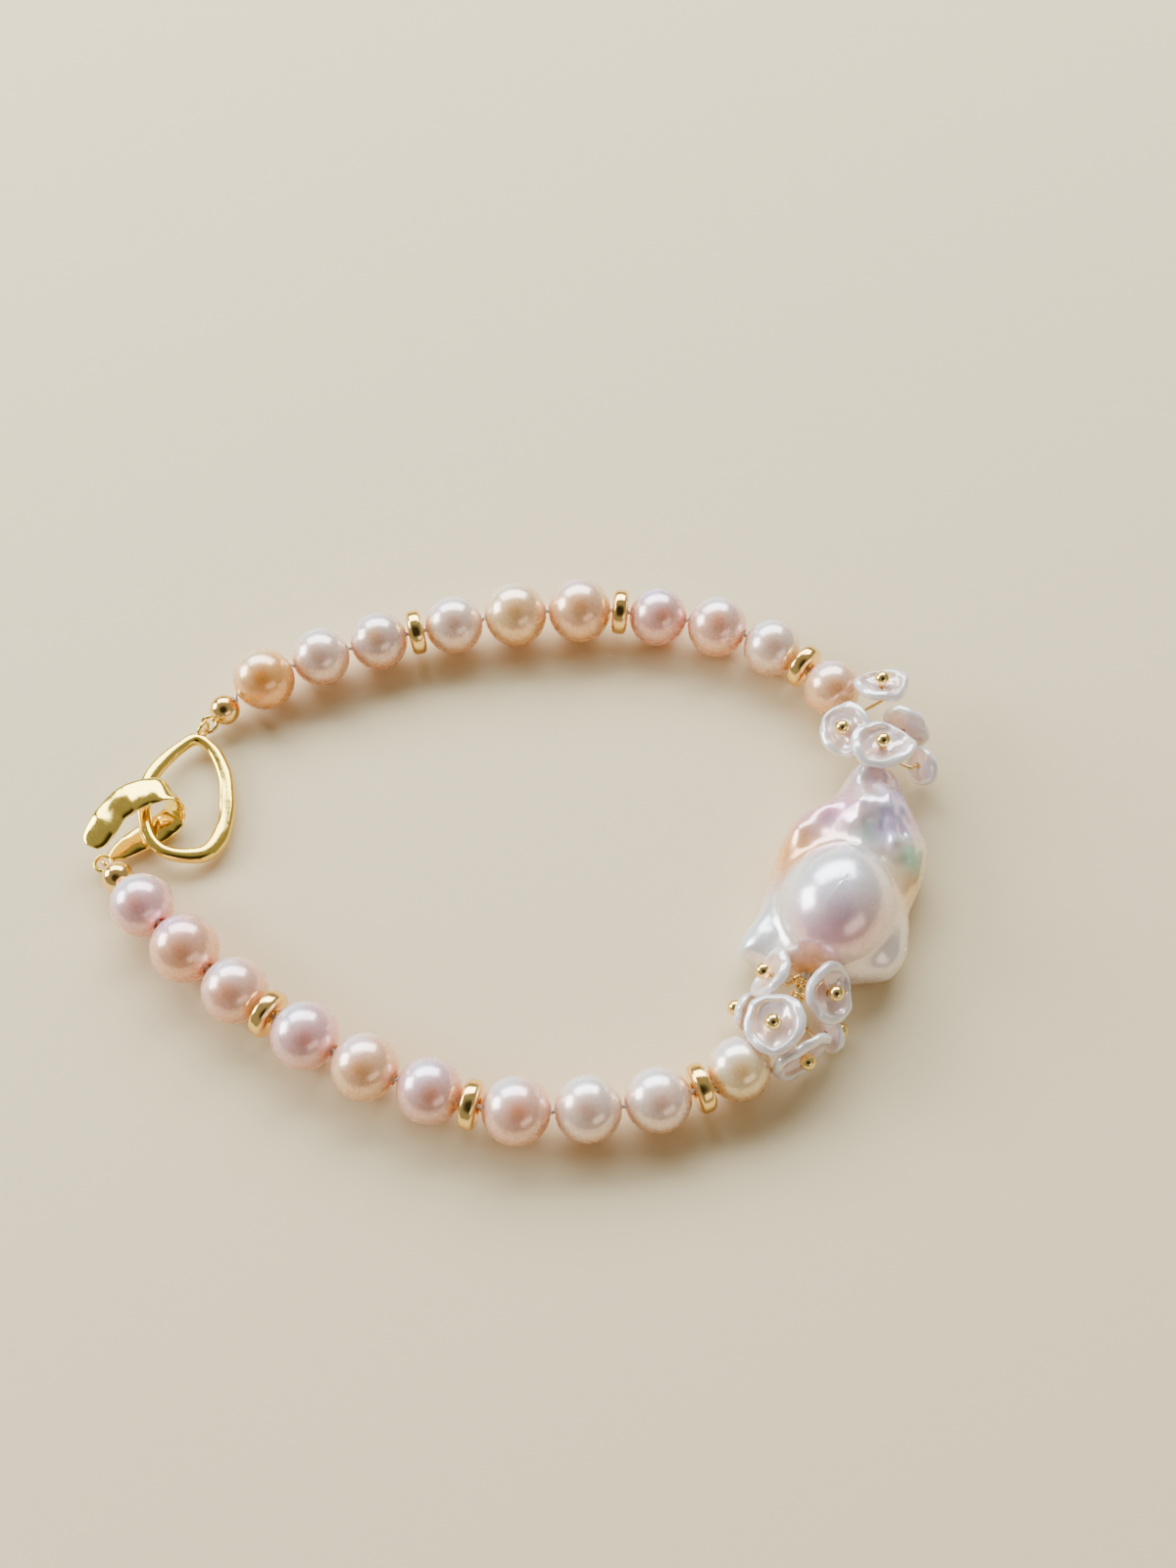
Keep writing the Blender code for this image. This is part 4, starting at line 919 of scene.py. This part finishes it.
    def height(self, across: np.ndarray, along: np.ndarray, share: np.ndarray, rim: np.ndarray) -> np.ndarray:
        """Upper skin: the flange's lens, swellings and ridges, joined by a soft maximum with the dome's ball.

        Args:
            across: metres from the hole.
            along: metres from the middle.
            share: 0 at the dome's axis, 1 at the rim.
            rim: rim height.

        Returns:
            Heights above the floor.
        """
        length = self.layout.baroque_length
        level = rim + (self.flange - 0.4 * self.rim_height) * (1 - share ** 5) ** 0.5
        for lobe_across, lobe_along, radius, rise in self.lobes:
            away = np.hypot(across - lobe_across * length, along - lobe_along * length) / (radius * length)
            level = level + rise * self.flange * np.exp(-away ** 2) * (1 - share ** 6) ** 0.5
        level = level + self.wrinkles(across, along) * (1 - share ** 8) ** 0.5
        for *ends, width, rise in self.ridges:
            start, end = np.array(ends[:2]) * length, np.array(ends[2:]) * length
            run = end - start
            spot = np.stack([across, along], axis=-1) - start
            t = np.clip(spot @ run / (run @ run), 0, 1)
            away = np.linalg.norm(spot - t[..., None] * run, axis=-1) / (width * length)
            level = level + rise * MM * np.exp(-away ** 2) * (1 - share ** 8) ** 0.5
        away = np.hypot((across - self.dome[0] * length) / self.narrowing, along - self.dome[1] * length)
        inside = np.sqrt(np.clip(self.dome_radius ** 2 - away ** 2, 0, None))
        ball = self.dome_height - self.dome_radius + np.where(
            away < self.dome_radius, inside, -3 * (away - self.dome_radius))
        return self.blend * np.logaddexp(level / self.blend, ball / self.blend)

    def wrinkles(self, across: np.ndarray, along: np.ndarray) -> np.ndarray:
        """Relief of the flange: folds that run out from the dome, finer ones on the neck and the right lobe."""
        length = self.layout.baroque_length
        a, b = across / length, along / length
        spot = np.stack([a, b, 0 * a], axis=-1)
        turn = np.arctan2(a - self.dome[0], b - self.dome[1])
        folds = np.sin(9 * turn + 3 * ripple(spot, 5, 5, 0.35))
        crinkle = ripple(spot, 6, 12, 0.055)
        fine = np.exp(-((a - 0.2) ** 2 + (b - 0.27) ** 2) / 0.015) + np.exp(-(a ** 2 + (b - 0.42) ** 2) / 0.012)
        upper = np.clip((b + 0.1) / 0.3, 0, 1)
        return self.fold_rise * folds * upper + self.crinkle_rise * crinkle * (0.2 + fine)

    def paint(self, points: np.ndarray, across: np.ndarray, along: np.ndarray) -> np.ndarray:
        """Colours: soft spots of the table one over the other, the iridescent bands on the lobes, then the silky
        dome: white towards the back as a painted highlight, its mauve lower side partly painted shade, and peach on
        its right."""
        length = self.layout.baroque_length
        a, b = across / length, along / length
        tint = np.broadcast_to(np.array(self.ground), (*a.shape, 3)).copy()
        for spot_a, spot_b, radius, colour, strength in self.colours:
            share = strength * np.exp(-((a - spot_a) ** 2 + (b - spot_b) ** 2) / radius ** 2)[..., None]
            tint += (np.array(colour) - tint) * share
        spot = np.stack([a, b, points[..., 2] / length], axis=-1)
        wave = 1.6 * ripple(spot, 11, 6, 0.3) + 0.6 * ripple(spot, 12, 8, 0.07)
        bands = 0.5 + 0.5 * np.cos(2 * np.pi * (wave[..., None] * 0.5 + np.array([0.0, 0.36, 0.62])))
        lobed = np.clip((b - 0.02) / 0.2, 0, 1)[..., None] * 0.16
        tint += (0.30 + 0.65 * bands - tint) * lobed
        away = np.hypot((a - self.dome[0]) / self.narrowing, b - self.dome[1]) * length / self.dome_radius
        on_dome = 1 / (1 + np.exp((away - 0.97) / 0.045))
        # Painted light on the dome: white towards the back is a painted highlight; the mauve lower side, masked
        # here, is partly painted shade.
        low = np.clip(((a - self.dome[0]) * 0.35 - (b - self.dome[1])) * 4.4 + 0.1, 0, 1)[..., None]
        right = np.clip((a - self.dome[0] - 0.03) * 6, 0, 1)[..., None]
        white, mauve, peach = np.array(self.dome_colours)
        silk = white + (mauve - white) * low
        silk += (peach - silk) * 0.6 * right
        return tint + (silk - tint) * on_dome[..., None]

    def build(self) -> None:
        """Makes the pearl: rings of points about the dome, over the top and back under the flange. Drills it."""
        degrees, far, rise = np.array(self.outline).T
        turns = around(self.sides)
        corners = [np.cos(np.radians(degrees)) * far, np.sin(np.radians(degrees)) * far, rise]
        fine = catmull_rom(np.column_stack(corners), closed=True, steps=12)
        angle = np.arctan2(fine[:, 1], fine[:, 0]) % (2 * np.pi)
        order = np.argsort(angle)
        length = self.layout.baroque_length
        spread = np.hypot(fine[:, 0], fine[:, 1])
        reach = np.interp(turns, angle[order], spread[order], period=2 * np.pi) * length
        rim = np.interp(turns, angle[order], fine[order, 2], period=2 * np.pi) * self.rim_height
        top = 1 - (1 - np.linspace(0.01, 1, 120)) ** 1.15
        under = top[::-1][1::2]
        rows = []
        for share, upper in ((top, True), (under, False)):
            s = share[:, None] * np.ones(self.sides)
            across = self.dome[0] * length + s * reach * np.cos(turns)
            along = self.dome[1] * length + s * reach * np.sin(turns)
            height = (self.height(across, along, s, rim) if upper
                      else rim * s ** 2 * (1 - 0.9 * (1 - s ** 4) ** 0.5))
            rows.append(np.stack([across, along, height + self.layout.floor_gap], axis=-1))
        grid = np.concatenate(rows)
        points = self.layout.drilled(grid[..., 0], grid[..., 1], grid[..., 2])
        tint = self.paint(grid, grid[..., 0], grid[..., 1])
        finish = NacreFinish("flange_nacre", lustre=0.42, roughness=0.24, depth=0.3, polish=0.19, mottle=0.08,
                             glow=(1.0, 0.72, 0.56), relief=0.03 * MM, grain=1100.0).material()
        piece = make_piece("flanged_pearl", [Shell(points)], finish, [tint])
        self.drill(piece, finish)
        settle(piece, "baroque_pearl")

    def drill(self, piece: bpy.types.Object, finish: bpy.types.Material) -> None:
        """Cuts the straight hole that the thread runs in: a cylinder along the pearl, past both its ends.

        Args:
            piece: the pearl, whose mesh is replaced by the cut one.
            finish: the pearl's material, for the wall of the hole.
        """
        layout = self.layout
        reach = self.overrun * layout.baroque_length / 2
        profile = np.array([[self.hole / 2, -reach], [self.hole / 2, reach]])
        centre = layout.origin + np.array([0.0, 0.0, layout.pin_height])
        shell = turned(profile, centre, np.array([*layout.along, 0.0]), 40, loop_rows=False)
        cutter = make_piece("thread_drill", [shell], finish, [np.array(self.bore_tint)])
        cut = piece.modifiers.new("drill", "BOOLEAN")
        cut.operation, cut.solver, cut.object = "DIFFERENCE", "EXACT", cutter
        whole = piece.data
        drilled = bpy.data.meshes.new_from_object(piece.evaluated_get(bpy.context.evaluated_depsgraph_get()))
        piece.modifiers.clear()
        piece.data = drilled
        for used in (whole, cutter.data):
            bpy.data.meshes.remove(used)


@dataclass(frozen=True)
class Petal:
    """One keshi petal: place of its hole past the thread and above the floor in shares of the petal width, the
    way it faces, its tilt, shares of its size, cup and roll. Past a tilt of 90 its ball is turned down."""

    name: str
    cluster: int
    share: float
    offset: tuple[float, float, float]
    faces: float
    tilt: float
    width: float
    length: float
    cup: float
    roll: float


@dataclass
class PetalClusters:
    """Keshi petals in two clusters, each on a ball-ended pin that is looped and wrapped round the thread."""

    layout: StringLayout
    petal_width: float = 5.2 * MM
    thickness: float = 0.75 * MM
    pin_lead: float = 0.5 * MM
    pin_seat: float = 0.1 * MM
    pin_neck: float = 1.3
    pin_wire: float = 0.36 * MM
    pin_ball: float = 1.5 * MM
    clearance: float = 0.14 * MM
    thread: float = THREAD
    columns: int = 110
    rows: int = 34
    coil_turns: int = 2
    tints: tuple[Colour, Colour, Colour] = ((0.90, 0.75, 0.82), (1.00, 0.70, 0.57), (1.00, 0.93, 0.92))
    # (height, count round the petal, share of the petal's phase) of each sine
    rim_waves: tuple = ((0.03, 3, 1), (0.022, 5, -2), (0.008, 11, 3))
    cup_waves: tuple = ((0.05, 2, 1), (0.025, 3, -1), (0.012, 7, 1))
    petals: tuple = (
        Petal("a", 0, 0.12, (0.56, 0.33, 0.98), 95, 24, 0.98, 0.90, 0.14, 0),
        Petal("b", 0, 0.52, (-0.24, 0.03, 0.85), 205, 34, 0.96, 1.04, 0.13, 20),
        Petal("c", 0, 0.90, (0.19, -0.14, 1.27), 80, 10, 1.14, 0.98, 0.15, 0),
        Petal("d", 0, 0.32, (0.87, -0.16, 0.78), 60, 98, 0.96, 0.86, 0.14, 30),
        Petal("e", 0, 0.71, (1.04, -0.28, 0.48), 20, 112, 0.72, 0.76, 0.12, 0),
        Petal("f", 1, 0.10, (-0.53, -0.05, 0.93), 160, 60, 0.92, 0.86, 0.13, 30),
        Petal("g", 1, 0.60, (-0.60, 0.18, 0.42), 150, 105, 0.66, 0.68, 0.10, 0),
        Petal("h", 1, 0.78, (-0.02, -0.10, 1.13), 205, 20, 1.04, 1.02, 0.14, 40),
        Petal("i", 1, 0.27, (0.45, -0.11, 0.93), -30, 44, 0.96, 1.04, 0.15, 0),
        Petal("j", 1, 0.93, (0.52, -0.20, 0.60), -55, 84, 1.20, 0.82, 0.12, 25),
        Petal("k", 1, 0.50, (0.68, -0.31, 0.34), 20, 108, 0.66, 0.70, 0.10, 0),
    )

    def build(self) -> None:
        """Makes each petal and its pin."""
        finish = NacreFinish("keshi_nacre", lustre=0.22, roughness=0.2, depth=0.4, polish=0.05, clear=0.12,
                             glow=(1.0, 0.80, 0.76), relief=0.02 * MM, grain=1500.0).material()
        for index, petal in enumerate(self.petals):
            path, stretch = self.layout.routes[petal.cluster], self.layout.cluster_lengths[petal.cluster]
            arc = stretch * (1 - petal.share if petal.cluster == 0 else petal.share)
            middle = np.array([*path.at(arc), self.layout.pin_height])
            way = unit(np.array([*(path.at(arc + 0.1 * MM) - path.at(arc)), 0.0]))
            place = np.array([middle[0], middle[1], 0.0]) + np.array(petal.offset) * self.petal_width
            facing = self.facing(petal)
            self.petal(petal, place + self.layout.origin, facing, index * 1.3, finish)
            self.pin(petal, middle + self.layout.origin, way, place + self.layout.origin, facing[:, 2])

    @staticmethod
    def facing(petal: Petal) -> np.ndarray:
        """Rotation that tilts a flat petal towards the way it faces and rolls it about its own axis."""
        faces, tilt, roll = (math.radians(value) for value in (petal.faces, petal.tilt, petal.roll))
        lean = Matrix.Rotation(faces, 3, "Z") @ Matrix.Rotation(tilt, 3, "Y")
        return np.array(lean @ Matrix.Rotation(roll - faces, 3, "Z"))

    @staticmethod
    def waves(table: tuple, t: np.ndarray, phase: float) -> np.ndarray:
        """Sum of the table's sines at these angles round the petal."""
        return sum(height * np.sin(count * t + share * phase) for height, count, share in table)

    def petal(self, petal: Petal, place: np.ndarray, facing: np.ndarray, phase: float,
              finish: bpy.types.Material) -> None:
        """A petal: its mid surface lies at height width s^2 (cup + ripples) at share s from hole to waving rim,
        and its two skins stand off it by half a thickness that swells to a fat rim, with growth rings."""
        t = around(self.columns)
        width, length = petal.width * self.petal_width, petal.length * self.petal_width
        hole = self.pin_wire / 2 + self.clearance
        s = (1 - np.cos(np.linspace(0, np.pi, self.rows)))[:, None] / 2
        s = 1 - (1 - s) ** 1.25
        rim = 0.5 * (1 + self.waves(self.rim_waves, t, phase)) * np.hypot(width * np.cos(t), length * np.sin(t))
        reach = hole + s * (rim - hole)
        lift = petal.cup + self.waves(self.cup_waves, t, phase)
        middle = np.stack([reach * np.cos(t), reach * np.sin(t), width * s ** 2 * lift], axis=-1)
        outward = np.gradient(middle, axis=0)
        sweep = np.roll(middle, -1, axis=1) - np.roll(middle, 1, axis=1)
        normal = np.cross(outward, sweep)
        normal /= np.linalg.norm(normal, axis=-1, keepdims=True) + 1e-12
        rings = 0.13 * np.sin(2 * np.pi * (2.6 * s + 0.22 * np.sin(2 * t + phase))) * s
        rings = rings + 0.16 * ripple(middle / width, int(phase * 10) + 7, 7, 0.42) * s
        swell = 0.78 + 0.42 * np.exp(-((s - 0.86) / 0.13) ** 2)
        edge = np.sqrt(np.clip(1 - np.clip((s - 0.88) / 0.12, 0, 1) ** 2, 0, 1))
        half = self.thickness / 2 * (swell + rings) * edge
        upper = middle + normal * half[..., None]
        lower = middle - normal * (self.thickness / 2 * swell * edge)[..., None]
        grid = np.concatenate([upper, lower[::-1][1:]])
        share = np.concatenate([s + 0 * t, (s + 0 * t)[::-1][1:]])
        tint = self.tint(grid / width, share, phase)
        points = grid @ facing.T + place
        piece = make_piece(f"keshi_petal_{petal.name}", [Shell(points, True)], finish, [tint])
        settle(piece, f"petal_{petal.name}")

    def tint(self, spot: np.ndarray, share: np.ndarray, phase: float) -> np.ndarray:
        """White nacre with a lilac and pink play in soft patches and a whiter rim."""
        lilac, rose, white = np.array(self.tints)
        patch = (0.5 + 0.5 * ripple(spot, int(phase * 10) + 3, 6, 0.9))[..., None]
        body = lilac + (rose - lilac) * patch
        return body + (white - body) * np.clip((share - 0.55) / 0.4, 0, 1)[..., None]

    def pin(self, petal: Petal, thread: np.ndarray, way: np.ndarray, place: np.ndarray,
            normal: np.ndarray) -> None:
        """Ball-ended pin: a loop and a coil of two turns round the thread, wraps round the stem, the stem up
        through the petal, the ball.

        Args:
            petal: names the pin.
            thread: point of the thread inside the loop.
            way: direction of the thread.
            place: middle of the petal's hole.
            normal: the petal's upward direction.
        """
        deep, under = (place - normal * (self.thickness / 2 + steps * self.pin_lead) for steps in (2, 1))
        towards = deep - thread
        towards = unit(towards - way * (towards @ way))
        beside = np.cross(way, towards)
        radius = self.thread / 2 + self.clearance + self.pin_wire / 2
        loop = circle_points(thread, radius, towards, beside, np.radians(np.linspace(70, 330, 30)))
        ball_centre = place + normal * ((self.thickness + self.pin_ball) / 2 + self.pin_seat)
        neck = thread + radius * self.pin_neck * towards
        stem = catmull_rom(np.array([loop[-1], neck, deep, under, ball_centre]), steps=10)
        a = np.linspace(0.04, np.pi - 0.04, 24)
        ball = np.column_stack([self.pin_ball / 2 * np.sin(a), self.pin_ball / 2 * np.cos(a)])
        shells = [tube(np.vstack([loop, stem[1:]]), self.pin_wire, sides=14),
                  turned(ball, ball_centre, normal, 36, loop_rows=False)]
        if petal.tilt < 90:
            shells.append(self.wraps(stem[10:24]))
        angles = np.radians(np.linspace(330, 330 + 360 * self.coil_turns, 50))
        rise = way * np.linspace(0, 2.1 * self.pin_wire, 50)[:, None]
        coil = circle_points(thread + rise, radius, towards, beside, angles)
        shells.append(tube(coil, self.pin_wire, sides=12))
        piece = make_piece(f"ball_pin_{petal.name}", shells, Gold.PIN.material())
        settle(piece, f"head_pin_{petal.name}")

    def wraps(self, stem: np.ndarray) -> Shell:
        """Wire wound round the stem: a helix of two and a half turns close round its straight run."""
        start = stem[0]
        axis = stem[-1] - start
        reach = np.linalg.norm(axis)
        basis = rotation(axis / reach)
        wire = 0.72 * self.pin_wire
        radius = (self.pin_wire + wire) / 2 * 0.96
        rise = np.linspace(0, min(2.6 * wire, reach), 60)[:, None] * basis[:, 2]
        angles = np.linspace(0, 2.5 * 2 * np.pi, 60)
        helix = circle_points(start + rise, radius, basis[:, 0], basis[:, 1], angles)
        sides = around(10)
        circle = wire / 2 * np.column_stack([np.cos(sides), np.sin(sides)])[None]
        return Shell(sections(helix, circle, basis[:, 2], False))


@dataclass
class BeadingThread:
    """The thread through all the holes, from end bead to end bead."""

    layout: StringLayout
    thickness: float = THREAD

    def build(self) -> None:
        """Makes the thread along the holes' ends, with a smooth run through the flanged pearl."""
        halves = []
        for side in (0, 1):
            beads, centres = self.layout.row(side)
            stretch, path = self.layout.cluster_lengths[side], self.layout.routes[side]
            run = [np.array([*path.at(share * stretch), self.layout.pin_height]) + self.layout.origin
                   for share in np.linspace(0, 0.9, 7)]
            ways = unit(centres[2:] - centres[:-2])
            half = np.array([self.layout.length(bead) / 2 for bead in beads])[:, None]
            pairs = np.stack([centres[1:-1] - ways * half, centres[1:-1] + ways * half], axis=1).reshape(-1, 3)
            last = unit(centres[-1] - centres[-2]) * self.layout.end_bead
            ends = [centres[-1] - last * 0.5, centres[-1] - last * 0.1]
            halves.append(np.vstack([run, pairs, ends]))
        path = np.vstack([halves[0][::-1], halves[1]])
        piece = make_piece("beading_thread", [tube(path, self.thickness, sides=12)], ThreadFinish().material())
        settle(piece, "bead_thread")


# Studio

@dataclass(frozen=True)
class SoftLight:
    """An area light turned to the bracelet: direction it comes from, distance, size and power."""

    name: str
    comes_from: tuple[float, float, float]
    distance: float
    size: tuple[float, float]
    power: float
    colour: Colour = (1.0, 1.0, 1.0)

    def build(self) -> None:
        """Places the light."""
        lamp = bpy.data.lights.new(self.name, "AREA")
        lamp.shape, lamp.size, lamp.size_y = "RECTANGLE", *self.size
        lamp.energy, lamp.color = self.power, self.colour
        turn = rotation(self.comes_from)
        placed = np.eye(4)
        placed[:3, :3], placed[:3, 3] = turn, turn[:, 2] * self.distance
        link(self.name, lamp).matrix_world = Matrix(placed.tolist())


@dataclass
class Studio:
    """Pale floor, window light from behind and from the left, and the camera at the photograph's angle, whose
    place is given from the middle of the flanged pearl's hole."""

    layout: StringLayout
    floor_size: float = 3.0
    floor_colour: Colour = (0.80, 0.67, 0.41)
    place: tuple[float, float, float] = (-20.100 * MM, -72.620 * MM, 149.340 * MM)
    ahead: tuple[float, float, float] = (-0.0178, 0.4876, -0.8729)
    up: tuple[float, float, float] = (0.01, 0.8731, 0.4875)
    lens: float = 27.045 * 1.5
    lights: tuple = (
        SoftLight("rear_window", (-0.08, 0.75, 0.66), 0.6, (0.82, 0.35), 9.9, (0.90, 0.95, 1.0)),
        SoftLight("side_window", (-0.90, 0.20, 0.40), 0.6, (0.30, 0.28), 4.6, (0.90, 0.97, 1.0)),
        SoftLight("bounce", (0.55, -0.70, 0.40), 0.9, (0.6, 0.3), 0.9, (1.0, 0.88, 0.74)),
    )
    surround: Colour = (0.62, 0.57, 0.50)
    dim_patch: Colour = (0.06, 0.05, 0.04)
    patch_range: tuple[float, float] = (0.78, 0.97)
    strength: float = 0.58

    def build(self) -> None:
        """Makes the floor, the lights, the surroundings and the camera."""
        half = self.floor_size / 2
        mesh = bpy.data.meshes.new("pale_floor")
        mesh.from_pydata([(-half, -half, 0.0), (half, -half, 0.0), (half, half, 0.0), (-half, half, 0.0)],
                         [], [(0, 1, 2, 3)])
        board = NodeBoard("matte_floor")
        board.set(Base_Color=(*self.floor_colour, 1.0), Roughness=0.95)
        mesh.materials.append(board.material)
        floor = link("pale_floor", mesh)
        for light in self.lights:
            light.build()
        self.surroundings()
        self.camera()

    def surroundings(self) -> None:
        """Even pale surroundings, dimmer in a soft patch overhead towards the front."""
        world = bpy.data.worlds.new("studio")
        world.use_nodes = True
        tree = world.node_tree
        background = tree.nodes["Background"]
        coordinates = tree.nodes.new("ShaderNodeTexCoord")
        dot = tree.nodes.new("ShaderNodeVectorMath")
        dot.operation = "DOT_PRODUCT"
        dot.inputs[1].default_value = [-value for value in self.ahead]
        patch = tree.nodes.new("ShaderNodeMapRange")
        patch.interpolation_type = "SMOOTHSTEP"
        patch.inputs["From Min"].default_value, patch.inputs["From Max"].default_value = self.patch_range
        mix = tree.nodes.new("ShaderNodeMix")
        mix.data_type = "RGBA"
        mix.inputs[6].default_value, mix.inputs[7].default_value = (*self.surround, 1), (*self.dim_patch, 1)
        tree.links.new(coordinates.outputs["Generated"], dot.inputs[0])
        tree.links.new(dot.outputs["Value"], patch.inputs["Value"])
        tree.links.new(patch.outputs["Result"], mix.inputs[0])
        tree.links.new(mix.outputs[2], background.inputs["Color"])
        background.inputs["Strength"].default_value = self.strength
        bpy.context.scene.world = world

    def camera(self) -> None:
        """Sets the camera where the photograph was taken from, with a longer lens."""
        data = bpy.data.cameras.new("photo_view")
        data.lens, data.sensor_width = self.lens, 36.0
        data.clip_start, data.clip_end = 0.005, 10.0
        ahead = unit(np.array(self.ahead))
        right = unit(np.cross(ahead, self.up))
        placed = np.eye(4)
        placed[:3, :3] = np.column_stack([right, np.cross(right, ahead), -ahead])
        placed[:3, 3] = self.layout.origin + self.place
        made = link("photo_view", data)
        made.matrix_world = Matrix(placed.tolist())
        bpy.context.scene.camera = made


def main() -> None:
    """Builds the bracelet's pieces in order, then the studio."""
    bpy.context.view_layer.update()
    clasp = Clasp()
    layout = StringLayout()
    layout.solve(clasp)
    PearlRows(layout).build()
    clasp.build(layout)
    FlangedPearl(layout).build()
    PetalClusters(layout).build()
    BeadingThread(layout).build()
    Studio(layout).build()


if __name__ == "__main__":
    main()
